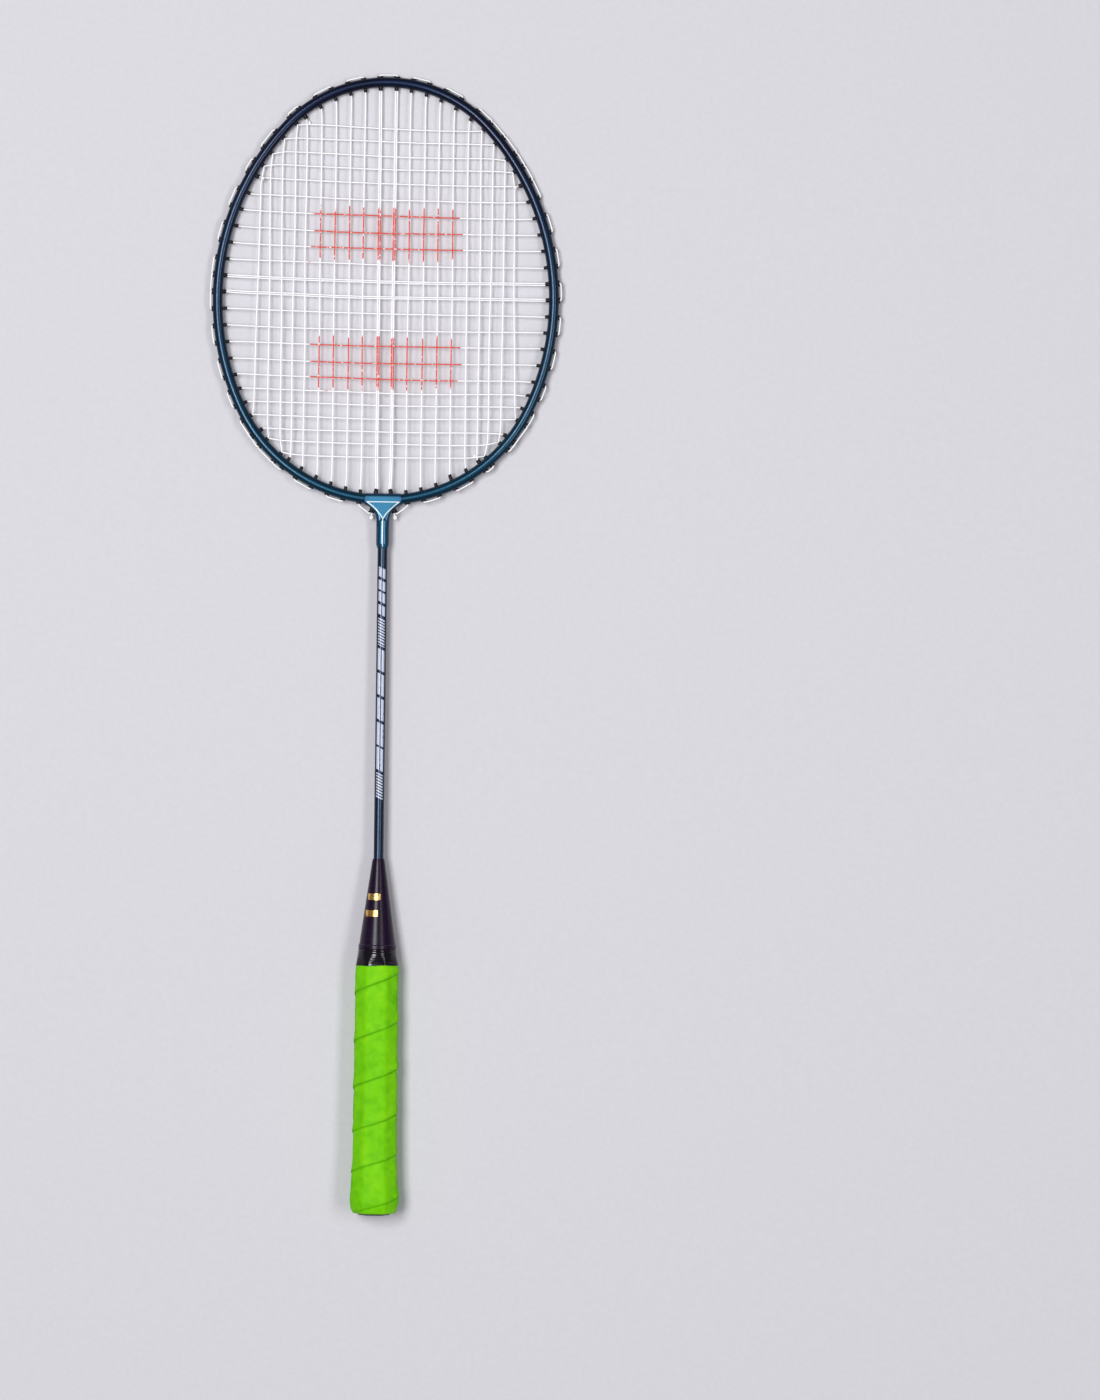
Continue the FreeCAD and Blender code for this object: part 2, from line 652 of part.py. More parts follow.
def makeTape():
    body = newBody("finishing_tape")
    outer = [octagon(body, "tape_outside_%d" % k, "%g" % a, "%g" % w, "%g" % height)
             for k, (a, w, height) in enumerate(tapeStations)]
    loft(body, "tape_outside", outer)
    inner = [octagon(body, "tape_inside_%d" % k, "%g" % a, "%g" % (w - 2 * tapeThickness),
                     "%g" % (height - 2 * tapeThickness))
             for k, (a, w, height) in enumerate(tapeStations)]
    loft(body, "tape_inside", inner, subtract=True)
    placeInRow(body)
    return body


# Grommets.
def grommet(name, radius, bore, inside, outside, lip):
    """A flanged barrel drawn along +Y: inside and outside are its wall's distances from the origin."""
    body = newBody(name)
    profile = newSketch(body, name + "_profile", "XY_Plane")
    flange = "%s + %s" % (radius, lip)
    outline(profile, [(bore, "-1 * ( %s )" % inside),
                      ("%s - barrel_chamfer" % radius, "-1 * ( %s )" % inside),
                      (radius, "-1 * ( %s ) + 2 * barrel_chamfer" % inside),
                      (radius, outside),
                      (flange, outside),
                      (flange, "%s + grommet_flange * 0.6" % outside),
                      ("%s + barrel_chamfer" % bore, "%s + grommet_flange" % outside),
                      (bore, "%s + grommet_flange" % outside)])
    revolve(body, name + "_turning", profile)
    return body


def copies(label, names, mould):
    """A group of grommets, each turned to its own hole."""
    shapes = []
    for name in names:
        point, normal, twin = holes[name]
        shape = mould.Shape.copy()
        shape.Placement = Placement(point, Rotation(Vector(0, 1, 0), normal))
        shapes.append(shape)
    keep(label, Part.makeCompound(shapes))


def keep(label, shape):
    item = doc.addObject("Part::Feature", label)
    item.Label = label
    item.Shape = shape
    placeInRow(item)


def makeGrommets():
    inside = "tube_diameter / 2 + grommet_stand"
    outside = "tube_diameter / 2 + drill_clearance"
    single = grommet("single_grommet", "grommet_radius", "grommet_bore", inside, outside, "flange_extra")
    wide = grommet("wide_grommet", "twin_radius", "twin_bore", inside, outside, "flange_extra")
    long = grommet("long_grommet", "twin_radius", "twin_bore", "tee_top + tee_grommet_stand",
                   "tee_grommet_tail - grommet_flange", "flange_extra * 0.7")
    doc.recompute()
    hoopHoles = [name for name in holes if not name.startswith("low_1_")]
    singles = [name for name in hoopHoles if not holes[name][2]]
    copies("grommets_top", [n for n in singles if n.startswith("top")], single)
    copies("grommets_low", [n for n in singles if n.startswith("low")], single)
    copies("grommets_left", [n for n in singles if n.startswith("side") and n.endswith("-1")], single)
    copies("grommets_right", [n for n in singles if n.startswith("side") and n.endswith("_1")], single)
    copies("grommets_wide", [n for n in hoopHoles if holes[n][2]], wide)
    copies("grommets_tee", ["low_1_-1", "low_1_1"], long)


# Strings.
def roundedRun(points, radii):
    """A wire of straight runs joined by tangent arcs, one radius for each inner point."""
    edges = []
    last = points[0]
    for k in range(1, len(points) - 1):
        a, b, c = points[k - 1], points[k], points[k + 1]
        into, out = (b - a).normalize(), (c - b).normalize()
        turn = into.getAngle(out)
        if turn < 1e-3:
            continue
        shorter = min((b - a).Length, (c - b).Length)
        reach = min(radii[k] * math.tan(turn / 2), 0.45 * shorter)
        radius = reach / math.tan(turn / 2)
        start, end = b - into * reach, b + out * reach
        inward = (out - into).normalize()
        middle = b + inward * (radius / math.cos(turn / 2) - radius)
        edges.append(Part.LineSegment(last, start).toShape())
        edges.append(Part.Arc(start, middle, end).toShape())
        last = end
    edges.append(Part.LineSegment(last, points[-1]).toShape())
    return Part.Wire(edges)


def stringSolid(name, route):
    """The string swept along its route, a list of (point, bend radius); the volume is checked."""
    path = roundedRun([point for point, radius in route], [radius for point, radius in route])
    radius = size("string_diameter") / 2
    start = (route[1][0] - route[0][0]).normalize()
    section = Part.Wire([Part.Circle(route[0][0], start, radius).toShape()])
    solid = path.makePipeShell([section], True, False)
    expected = math.pi * radius ** 2 * path.Length
    print("%s: %.0f mm long, %d turns" % (name, path.Length, len(route) - 2))
    if abs(solid.Volume - expected) > 0.01 * expected or not solid.isValid():
        raise ValueError("%s: volume %.1f, expected %.1f" % (name, solid.Volume, expected))
    return solid


def corner(hole, inside, shift=0.0, lift=0.0):
    """Where a string turns, inside or outside a hole; shift runs along the hoop, lift is Z."""
    point, normal, twin = holes[hole]
    away = Vector(abs(normal.y), 0, 0) if point.x > 0 else Vector(-abs(normal.y), 0, 0)
    away = (away - normal * away.dot(normal)).normalize() if away.Length > 0.01 else Vector(0, -1, 0)
    if hole.startswith("low_1_"):
        gap = size("tee_mouth_gap")
        reach = -(size("tee_top") + size("tee_grommet_stand") + gap) if inside \
            else size("tee_grommet_tail") + gap
    else:
        outer = size("tube_diameter") / 2 + size("grommet_flange") + size("mouth_gap")
        reach = -landing if inside else outer
    bend = size("mouth_radius" if inside else "outer_radius")
    return point + normal * reach + away * shift + Vector(0, 0, lift), bend


def laneOf(kind, hole):
    """Strands that share a hole pass one above the other: mains above, crosses below."""
    lift = size("twin_offset") if holes[hole][2] else 0.0
    return lift if kind == "main" else -lift


def mainLine(number, side, shift=0.0):
    """The two inner corners of one main, low then top; shift moves a doubled strand outwards."""
    ends = []
    for low in (True, False):
        hole = holeOf["main", number, side, low]
        lift = 0.0 if number in doubledMains else laneOf("main", hole)
        ends.append(corner(hole, True, shift, lift))
    return ends


def settled(low, top):
    """A main's points: its two corners, and where it has settled into the bed's plane."""
    (a, bendA), (b, bendB) = low, top
    step = Vector(b.x - a.x, b.y - a.y, 0).normalize() * size("settle_length")
    points = [(a, bendA)]
    if a.z != 0:
        points.append((Vector(a.x, a.y, 0) + step, size("bend_radius")))
    if b.z != 0:
        points.append((Vector(b.x, b.y, 0) - step, size("bend_radius")))
    return points + [(b, bendB)]


def tail(kind, hole, lift):
    """The tied end inside a hole: the string turns away from the bed and ends past its knot."""
    start, bend = corner(hole, True, 0.0, lift)
    point, normal, twin = holes[hole]
    away = (normal * -0.75 + Vector(0, 0, math.copysign(0.66, lift))).normalize()
    knots.append((start + away * size("knot_distance"), away))
    return [(start, bend), (start + away * size("tail_length"), 0.0)]


def mainHalf(side):
    """One side's mains, from the middle main's top corner out to the tied end."""
    offset = size("twin_offset")
    route = []
    count = len(mainOffsets)
    for number in range(1, count + 1):
        doubled = number in doubledMains
        lowHole, topHole = (holeOf["main", number, side, low] for low in (True, False))
        low, top = mainLine(number, side, offset if doubled else 0.0)
        line = settled(low, top)
        lowOut = corner(lowHole, False, offset if doubled else 0.0,
                        0.0 if doubled else laneOf("main", lowHole))
        topOut = corner(topHole, False, 0.0, laneOf("main", topHole))
        if number % 2 == 1:
            route += [topOut] + line[::-1] + [lowOut]
        else:
            route += [lowOut] + line + [topOut]
    tie = tieHoles["main"][0 if side < 0 else 1]
    route.append(corner(tie, False, 0.0, offset))
    return route + tail("main", tie, offset)


def centreStrand():
    """The second strand of the middle mains: over the top, and knotted under both wings."""
    offset = size("twin_offset")
    halves = []
    for side in (-1, 1):
        low, top = mainLine(1, side, -offset)
        point, normal, twin = holes["low_1_%d" % side]
        out, bend = corner("low_1_%d" % side, False, -offset)
        away = (normal * 0.7 + Vector(0, 0, -0.7)).normalize()
        knots.append((out + away * size("knot_distance"), away))
        halves.append([(out + away * size("tail_length"), 0.0), (out, bend), low, top,
                       corner("top_1_%d" % side, False, 0.0, -offset)])
    return halves[0] + halves[1][::-1]


def mainAt(number, side, along):
    """Where a main's line crosses a given distance along the racket."""
    (low, _), (top, _) = mainLine(number, side)
    return low.x + (top.x - low.x) * (along - low.y) / (top.y - low.y)


def crossPass(number, shift, leftToRight):
    """One cross: its outer corners, its inner corners and the weave between them."""
    ends = {}
    for side in (-1, 1):
        hole = holeOf["cross", number, side]
        doubled = number in doubledCrosses
        lane = laneOf("cross", hole)
        if doubled:
            lane = math.copysign(lane, -shift)
        across = Vector(0, shift, 0)
        inner, bend = corner(hole, True, 0.0, 0.0 if doubled else lane)
        ends[side] = [corner(hole, False, 0.0, lane), (inner + across, bend)]
    left, right = ends[-1][1][0], ends[1][1][0]
    slope = (right.y - left.y) / (right.x - left.x)
    crossings = []
    for side in (-1, 1):
        for n in range(1, len(mainOffsets) + 1):
            height = left.y + slope * (mainAt(n, side, left.y) - left.x)
            x = mainAt(n, side, height)
            if left.x + size("weave_margin") < x < right.x - size("weave_margin"):
                order = n if side > 0 else n + 1
                over = 1 if (order + number) % 2 == 0 else -1
                crossings.append((x, height, over * size("weave_height")))
    weave = [(Vector(*crossing), size("bend_radius")) for crossing in sorted(crossings)]
    route = ends[-1] + weave + ends[1][::-1]
    return route if leftToRight else route[::-1]


def crossRoute():
    """Side to side down the head; the doubled crosses are each passed twice, by turns."""
    offset = size("twin_offset")
    first, last = doubledCrosses
    order = [(n, offset if n in doubledCrosses else 0.0) for n in range(1, last + 1)]
    order += [(n, -offset) for n in (first, last)]
    order += [(n, 0.0) for n in range(last + 1, len(crossHeights) + 1)]
    startHole, endHole = tieHoles["cross"]
    route = tail("cross", startHole, -offset)[::-1] + [corner(startHole, False, 0.0, -offset)]
    for k, (number, shift) in enumerate(order):
        route += crossPass(number, shift, k % 2 == 0)
    return route + [corner(endHole, False, 0.0, -offset)] + tail("cross", endHole, -offset)


def makeKnots():
    """Each knot is a bead that the string passes through."""
    beads = []
    bore = size("string_diameter") / 2 + size("knot_clearance")
    radius, length = size("knot_radius"), size("knot_length")
    for middle, along in knots:
        start = middle - along * (length / 2)
        bead = Part.makeCylinder(radius, length, start, along)
        ends = [e for e in bead.Edges if isinstance(e.Curve, Part.Circle)]
        bead = bead.makeFillet(radius * 0.5, ends)
        beads.append(bead.cut(Part.makeCylinder(bore, 3 * length, middle - along * 1.5 * length, along)))
    keep("string_knots", Part.makeCompound(beads))


print("making the frame pieces")
makeShaft()
makeCone()
makeWrap()
makeCore()
makePin()
makeCap()
makeDisc()
makeTape()
hoopBlank = makeHoop()
teeBlank = makeTee()
doc.recompute()
hoopDrills = drills("hoop_drills", [n for n in holes if not n.startswith("low_1_")],
                    size("hoop_drill"))
teeDrills = drills("tee_drills", [n for n in holes if n[:6] in ("low_1_", "low_2_", "low_3_")],
                   size("tee_drill"))
cutFrom(hoopBlank, hoopDrills, "hoop_tube")
cutFrom(teeBlank, teeDrills, "throat_tee")
print("making the grommets")
makeGrommets()
print("making the strings")
knots = []
leftHalf, rightHalf = mainHalf(-1), mainHalf(1)
keep("main_string", stringSolid("main_string", leftHalf[::-1] + rightHalf))
keep("centre_strand", stringSolid("centre_strand", centreStrand()))
keep("cross_string", stringSolid("cross_string", crossRoute()))
makeKnots()
doc.recompute()

nodes = ["hoop_tube", "throat_tee", "shaft_tube", "cone_cap", "handle_core", "shaft_pin", "butt_cap",
         "butt_disc", "grip_wrap", "finishing_tape", "grommets_top", "grommets_low", "grommets_left",
         "grommets_right", "grommets_wide", "grommets_tee", "main_string", "centre_strand",
         "cross_string", "string_knots"]
for item in doc.Objects:
    if "Invalid" in item.State or "Error" in item.State:
        raise ValueError("%s failed: %s" % (item.Name, item.State))
os.makedirs("parts", exist_ok=True)
for name in nodes:
    item = doc.getObjectsByLabel(name)[0]
    if item.Shape.isNull() or not item.Shape.isValid():
        raise ValueError(name + " has no valid shape")
    item.Shape.exportStep(os.path.join("parts", name + ".step"))
    box = item.Shape.BoundBox
    print("%-15s %2d solids %9.1f mm3, along Y %.2f to %.2f, up to Z %.2f"
          % (name, len(item.Shape.Solids), item.Shape.Volume, box.YMin, box.YMax, box.ZMax))
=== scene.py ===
import bpy
import math
import numpy as np
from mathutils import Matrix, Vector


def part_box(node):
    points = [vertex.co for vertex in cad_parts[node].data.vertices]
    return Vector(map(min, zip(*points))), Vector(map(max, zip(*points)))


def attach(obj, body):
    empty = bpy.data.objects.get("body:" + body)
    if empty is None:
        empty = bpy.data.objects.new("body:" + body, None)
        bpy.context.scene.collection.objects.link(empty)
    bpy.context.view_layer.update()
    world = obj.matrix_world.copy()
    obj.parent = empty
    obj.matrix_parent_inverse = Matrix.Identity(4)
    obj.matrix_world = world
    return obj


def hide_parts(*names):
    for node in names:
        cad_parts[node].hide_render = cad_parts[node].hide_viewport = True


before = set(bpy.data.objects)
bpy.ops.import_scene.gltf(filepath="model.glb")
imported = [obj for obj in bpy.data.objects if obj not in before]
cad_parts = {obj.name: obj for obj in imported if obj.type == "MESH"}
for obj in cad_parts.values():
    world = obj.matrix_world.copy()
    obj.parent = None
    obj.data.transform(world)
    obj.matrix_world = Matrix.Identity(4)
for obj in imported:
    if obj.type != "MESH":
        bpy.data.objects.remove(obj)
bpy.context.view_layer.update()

mm = 0.001
hoopLow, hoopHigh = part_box("hoop_tube")
tubeRadius = (hoopHigh.z - hoopLow.z) / 2
axisZ = (hoopHigh.z + hoopLow.z) / 2        # height of the racket's axis
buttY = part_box("butt_disc")[0].y            # "along" is measured from here, towards the head
random = np.random.default_rng(7)


# sRGB hex to linear: c / 12.92 up to 0.04045, else ((c + 0.055) / 1.055) ** 2.4
def hexColour(text):
    parts = [int(text[k:k + 2], 16) / 255 for k in (1, 3, 5)]
    return [c / 12.92 if c <= 0.04045 else ((c + 0.055) / 1.055) ** 2.4 for c in parts] + [1.0]


# Sets a node's sockets by name or number: a node links its first output, a pair links a named one
def setInputs(tree, node, inputs):
    for name, value in (inputs.items() if isinstance(inputs, dict) else enumerate(inputs)):
        if isinstance(value, bpy.types.Node):
            tree.links.new(value.outputs[0], node.inputs[name])
        elif isinstance(value, tuple) and isinstance(value[0], bpy.types.Node):
            tree.links.new(value[0].outputs[value[1]], node.inputs[name])
        else:
            node.inputs[name].default_value = value


# A shader node with its settings and links; stops are a colour ramp's (place, colour) pairs
def addNode(tree, kind, inputs=(), stops=(), **settings):
    node = tree.nodes.new("ShaderNode" + kind)
    for name, value in settings.items():
        setattr(node, name, value)
    for _ in stops[2:]:
        node.color_ramp.elements.new(1.0)
    for k, (place, colour) in enumerate(stops):
        node.color_ramp.elements[k].position = place
        node.color_ramp.elements[k].color = hexColour(colour)
    setInputs(tree, node, inputs)
    return node


# A material whose plain values stand on the Principled shader's own sockets, with its node tree, its
# shader and the object coordinates
def newMaterial(name, values):
    material = bpy.data.materials.new(name)
    material.use_nodes = True
    tree = material.node_tree
    shader = tree.nodes["Principled BSDF"]
    setInputs(tree, shader, values)
    return material, tree, shader, (addNode(tree, "TexCoord"), "Object")


# A finish that follows one noise with grains of a given size: its colour, its roughness between two
# limits, and a bump of a given strength and height
def grainedMaterial(name, values, size, detail, stops=(), dull=(), bump=(), stretch=()):
    material, tree, shader, place = newMaterial(name, values)
    if stretch:
        place = addNode(tree, "Mapping", {"Vector": place, "Scale": stretch})
    grain = addNode(tree, "TexNoise", {"Vector": place, "Scale": 1 / size, "Detail": detail})
    if stops:
        setInputs(tree, shader, {"Base Color": addNode(tree, "ValToRGB", [grain], stops)})
    if dull:
        rough = addNode(tree, "MapRange", {"Value": grain, "To Min": dull[0], "To Max": dull[1]})
        setInputs(tree, shader, {"Roughness": rough})
    if bump:
        raised = addNode(tree, "Bump", {"Height": grain, "Strength": bump[0], "Distance": bump[1]})
        setInputs(tree, shader, {"Normal": raised})
    return material


# How far a point in mm lies outside the nearest of some plain bars: the smallest, over the bars, of
# max(|x - x0| - half width, |y - y0| - half height)
def outsideBars(tree, place, bars):
    nearest = None
    for x, along, halfWidth, halfHeight in bars:
        off = addNode(tree, "VectorMath", [place, (x, along, 0)], operation="SUBTRACT")
        off = addNode(tree, "VectorMath", [off], operation="ABSOLUTE")
        off = addNode(tree, "VectorMath", [off, (halfWidth, halfHeight, 0)], operation="SUBTRACT")
        parts = addNode(tree, "SeparateXYZ", [off])
        edge = addNode(tree, "Math", [(parts, 0), (parts, 1)], operation="MAXIMUM")
        nearest = addNode(tree, "Math", [nearest, edge], operation="MINIMUM") if nearest else edge
    return nearest


# The product of several masks
def allOf(tree, first, *others):
    for other in others:
        first = addNode(tree, "Math", [first, other], operation="MULTIPLY")
    return first


# Many small grids or one large one, each rows by columns, made one mesh. Columns run round and
# close; rows close too, or end in a flat cap. Faces are (row, column), (row, column + 1), ...
def gridMesh(name, grids, closedRows=False, uvs=None, sharpAngle=None):
    faces, corners, start = [], [], 0
    for k, grid in enumerate(grids):
        rows, columns = grid.shape[:2]
        index = start + np.arange(rows * columns).reshape(rows, columns)
        start += rows * columns
        index = np.hstack([index, index[:, :1]])
        if closedRows:
            index = np.vstack([index, index[:1]])
        cells = [index[:-1, :-1], index[:-1, 1:], index[1:, 1:], index[1:, :-1]]
        faces += np.stack(cells, -1).reshape(-1, 4).tolist()
        if uvs:
            uv = uvs[k]
            cells = [uv[:-1, :-1], uv[:-1, 1:], uv[1:, 1:], uv[1:, :-1]]
            corners.append(np.stack(cells, 2).reshape(-1, 2))
        if not closedRows:
            faces += [index[0, :-1][::-1].tolist(), index[-1, :-1].tolist()]
            if uvs:
                corners += [uv[0, :-1][::-1], uv[-1, :-1]]
    mesh = bpy.data.meshes.new(name)
    mesh.from_pydata(np.concatenate([g.reshape(-1, 3) for g in grids]).tolist(), [], faces)
    mesh.shade_smooth()
    if sharpAngle:
        mesh.set_sharp_from_angle(angle=math.radians(sharpAngle))
    if uvs:
        layer = mesh.uv_layers.new(name="UVMap")
        layer.data.foreach_set("uv", np.concatenate(corners).astype(np.float32).ravel())
    return mesh


# A piece made of one mesh, in place of the named CAD nodes
def addPiece(mesh, material, slotName, *replaced):
    mesh.materials.append(material)
    piece = bpy.data.objects.new(mesh.name, mesh)
    bpy.context.scene.collection.objects.link(piece)
    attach(piece, "root")
    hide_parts(*replaced)
    return piece


# A vector over its length
def unit(v):
    return v / np.linalg.norm(v, axis=-1, keepdims=True)


# 0 below 0, 1 above 1, and 3t^2 - 2t^3 between
def smoothStep(t):
    t = np.clip(t, 0, 1)
    return t * t * (3 - 2 * t)


# Each coordinate of a row of points is averaged with a Gaussian, and the two ends stay put
def smoothPath(points, sigma):
    reach = int(4 * sigma) + 1
    kernel = np.exp(-0.5 * (np.arange(-reach, reach + 1) / sigma) ** 2)
    padded = np.pad(points, ((reach, reach), (0, 0)), mode="edge")
    columns = [np.convolve(c, kernel / kernel.sum(), mode="valid") for c in padded.T]
    return np.stack(columns, -1)


# A round tube: centre + radius (cos a side + sin a up), where side is across the path and "reference"
def tubeGrid(path, radius, sides, reference):
    tangent = unit(np.gradient(path, axis=0))
    side = unit(np.cross(tangent, reference))
    up = np.cross(tangent, side)
    angle = np.linspace(0, 2 * np.pi, sides, endpoint=False)[None, :, None]
    ring = np.cos(angle) * side[:, None] + np.sin(angle) * up[:, None]
    return path[:, None] + np.reshape(radius, (-1, 1, 1)) * ring


# A sum of waves over two coordinates with seeded directions and phases, about -1 to 1
def roughness2d(u, v, waves, lowest, highest):
    total = np.zeros(np.broadcast(u, v).shape)
    for frequency in np.linspace(lowest, highest, waves):
        turn, phase = random.uniform(0, 2 * np.pi, 2)
        total += np.sin(frequency * (u * math.cos(turn) + v * math.sin(turn)) + phase)
    return total / math.sqrt(waves)


print("camera, lights and floor")
view = {
    "height": 3.0,                 # long lens, far off, square to the string bed
    "lens": 132.1,
    "centre": (98.5 * mm, -32.4 * mm),
    "lean": math.radians(0.75),
}
cosLean, sinLean = math.cos(view["lean"]), math.sin(view["lean"])
right, up = view["centre"]
cameraData = bpy.data.cameras.new("camera")
cameraData.lens = view["lens"]
cameraData.clip_end = 50
camera = bpy.data.objects.new("camera", cameraData)
camera.location = (right * cosLean - up * sinLean, right * sinLean + up * cosLean,
                   axisZ + view["height"])
camera.rotation_euler = (0, 0, view["lean"])
bpy.context.scene.collection.objects.link(camera)
bpy.context.scene.camera = camera
bpy.context.scene.view_settings.view_transform = "Standard"

# Softboxes: place, aim, width, length, watts
softboxes = {
    "key_left": ((-0.85, 0.3, 3.0), (0, 0.05, 0), 0.9, 1.6, 86),
    "fill_right": ((1.5, -0.2, 2.5), (0, 0.0, 0), 0.6, 1.6, 26),
}
for name, (place, aim, width, length, watts) in softboxes.items():
    data = bpy.data.lights.new(name, "AREA")
    data.shape = "RECTANGLE"
    data.size, data.size_y, data.energy = width, length, watts
    lamp = bpy.data.objects.new(name, data)
    lamp.location = place
    offset = np.subtract(place, aim)
    lamp.rotation_euler = (0, math.atan2(offset[0], offset[2]), 0)
    lamp.visible_camera = False
    bpy.context.scene.collection.objects.link(lamp)
world = bpy.data.worlds.new("studio")
world.use_nodes = True
setInputs(world.node_tree, world.node_tree.nodes["Background"],
          {"Color": hexColour("#F2F4F8"), "Strength": 0.22})
bpy.context.scene.world = world

# The racket lies on its tape and on the far end of its head, so the floor climbs a little
floorSize = 6.0
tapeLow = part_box("finishing_tape")[0]
restGap = 0.35 * mm
slope = (hoopLow.z - tapeLow.z) / (hoopHigh.y - tubeRadius - tapeLow.y)
floorMesh = bpy.data.meshes.new("floor")
floorMesh.from_pydata([(x, y, tapeLow.z + (y - tapeLow.y) * slope - restGap) for x, y in
                       ((-floorSize, -floorSize), (floorSize, -floorSize),
                        (floorSize, floorSize), (-floorSize, floorSize))], [], [(0, 1, 2, 3)])
floor = bpy.data.objects.new("floor", floorMesh)
bpy.context.scene.collection.objects.link(floor)
# Matt card: pale, a little cool, with no gloss
floorMesh.materials.append(grainedMaterial(
    "matt_card", {"Roughness": 0.95, "Specular IOR Level": 0.1}, 2.5 * mm, 2.0,
    stops=[(0.3, "#C6C4CA"), (0.7, "#C9C7CD")]))


print("head: holes")
# The holes, the strings and the grommets all follow the head's arcs
head = {
    "topRadius": 79.7 * mm, "sideRadius": 149.5 * mm, "lowRadius": 92.9 * mm,
    "shoulder": math.radians(47.3),           # where the top arc meets the side arc, from the top
    "topY": hoopHigh.y - tubeRadius,
    "teeY": buttY + 417.94 * mm,
    "teeTop": 3.2 * mm,                       # crossbar's top above its centre line
    "teeLean": math.radians(12),              # how far the middle mains splay below the tee
}
bed = {
    "mains": [(4.5 + 8.5 * k) * mm for k in range(6)] + [(47 + 7.3 * k) * mm for k in range(1, 5)],
    "crossTop": 217.0 * mm,                   # first cross above the tee, and the gaps down from it
    "crossGaps": [7.6 * mm] * 3 + [9.48 * mm] * 13 + [7.8 * mm] * 6,
    "tiltTop": 2.0 * mm, "tiltLow": 0.6 * mm,   # how far a cross's left end stands above its middle
    "sharedTop": {7: 1, 8: 2, 9: 3, 10: 4},   # mains that share a hole with a cross
    "sharedLow": {8: 23, 9: 22, 10: 20},
    "doubledCrosses": [11, 12],
    "twin": 0.54 * mm,                        # half the distance between two strands side by side
    "radius": 0.375 * mm,
    "weave": 0.41 * mm,                       # height of a string over or under the bed's plane
    "step": 0.5 * mm,
    "fade": 3.0 * mm,                         # the weave dies out this near to a grommet
    "margin": 2.5 * mm,
    "settle": 12 * mm,                        # a hole pulls a string aside for this far
    "regain": 0.6,                            # and beyond that the string regains this much of it
    "outerTop": 73.0 * mm,                    # the outermost mains are drawn in to this at the top
    "wander": 0.2 * mm,                       # the strings aren't laid quite straight
    "sag": 1.0 * mm,                          # the crosses hang a little towards the handle
}
grommet = {
    "stand": 1.9 * mm, "flange": 0.7 * mm, "lip": 0.5 * mm, "gap": 0.6 * mm,
    "radius": 1.1 * mm, "bore": 0.55 * mm,
    "wideRadius": 1.35 * mm, "wideBore": 0.95 * mm,
    "sharedStand": 0.9 * mm, "sharedGap": 0.3 * mm,   # a mouth that two strings leave by folds back
    "teeStand": 2.6 * mm, "teeTail": 8.55 * mm, "teeGap": 0.85 * mm,
    "lean": 0.45 * mm,                        # the nylon ends are pulled over by the strings
    "proud": {"low_5_1": 1.3 * mm, "side_8_-1": 0.5 * mm, "side_13_-1": 0.6 * mm},
}
crossCount = len(bed["crossGaps"]) + 1
landing = tubeRadius + grommet["stand"] + grommet["gap"]


# Three tangent arcs make the head's right half: centre, radius, first and last angle from the top
def headArcs():
    turn, step = head["shoulder"], head["sideRadius"] - head["topRadius"]
    top = np.array([0, head["topY"] - head["topRadius"]])
    side = top - step * np.array([math.sin(turn), math.cos(turn)])
    step2 = head["sideRadius"] - head["lowRadius"]
    waist = math.pi - math.asin(step * math.sin(turn) / step2)
    low = side + step2 * np.array([math.sin(waist), math.cos(waist)])
    return [(top, head["topRadius"], 0, turn), (side, head["sideRadius"], turn, waist),
            (low, head["lowRadius"], waist, math.pi)]


# The point centre + radius (sin a, cos a) and the outward normal there
def headPoint(angle, side):
    for centre, radius, first, last in headArcs():
        if first <= angle <= last:
            normal = np.array([side * math.sin(angle), math.cos(angle), 0])
            x, y = centre + radius * np.array([math.sin(angle), math.cos(angle)])
            return np.array([side * x, y, axisZ]), normal


# The angle at which the line "landing" inside the tube meets a given x, or a given y
def headAngle(x=None, y=None, low=False):
    for centre, radius, first, last in headArcs():
        ratio = (x - centre[0] if y is None else y - centre[1]) / (radius - landing)
        if abs(ratio) <= 1:
            angle = math.acos(ratio) if x is None else math.asin(ratio)
            angle = math.pi - angle if low else angle
            if first <= angle <= last:
                return angle


# Where a cross would end if no hole pulled it aside; its tilt fades down the head
def crossIdeal(number, side):
    tilt = bed["tiltTop"] + (bed["tiltLow"] - bed["tiltTop"]) * (number - 1) / (crossCount - 1)
    return head["teeY"] + bed["crossTop"] - sum(bed["crossGaps"][:number - 1]) - side * tilt


def crossAngle(number, side):
    return headAngle(y=crossIdeal(number, side))


# Each hole: point on the tube's centre line, outward normal, and whether two strands share it
def findHoles():
    found, names = {}, {}
    for side in (-1, 1):
        for low, shared in ((False, bed["sharedTop"]), (True, bed["sharedLow"])):
            for number, x in enumerate(bed["mains"], start=1):
                name = "%s_%d_%d" % ("low" if low else "top", number, side)
                names["main", number, side, low] = name
                if low and number == 1:
                    outward = np.array([side * math.sin(head["teeLean"]),
                                        -math.cos(head["teeLean"]), 0])
                    top = np.array([side * x, head["teeY"] + head["teeTop"], axisZ])
                    found[name] = (top + outward * head["teeTop"], outward, True)
                    continue
                outermost = number == len(bed["mains"]) and not low
                angle = headAngle(x=bed["outerTop"] if outermost else x, low=low)
                if number in shared:
                    angle = (angle + crossAngle(shared[number], side)) / 2
                    names["cross", shared[number], side] = name
                found[name] = headPoint(angle, side) + (number in shared or number == 1,)
        for number in range(1, crossCount + 1):
            if ("cross", number, side) not in names:
                name = names["cross", number, side] = "side_%d_%d" % (number, side)
                twin = number in bed["doubledCrosses"] + [5, 21]
                found[name] = headPoint(crossAngle(number, side), side) + (twin,)
    for name in ("top_6_-1", "low_7_1"):
        found[name] = found[name][:2] + (True,)
    return found, names


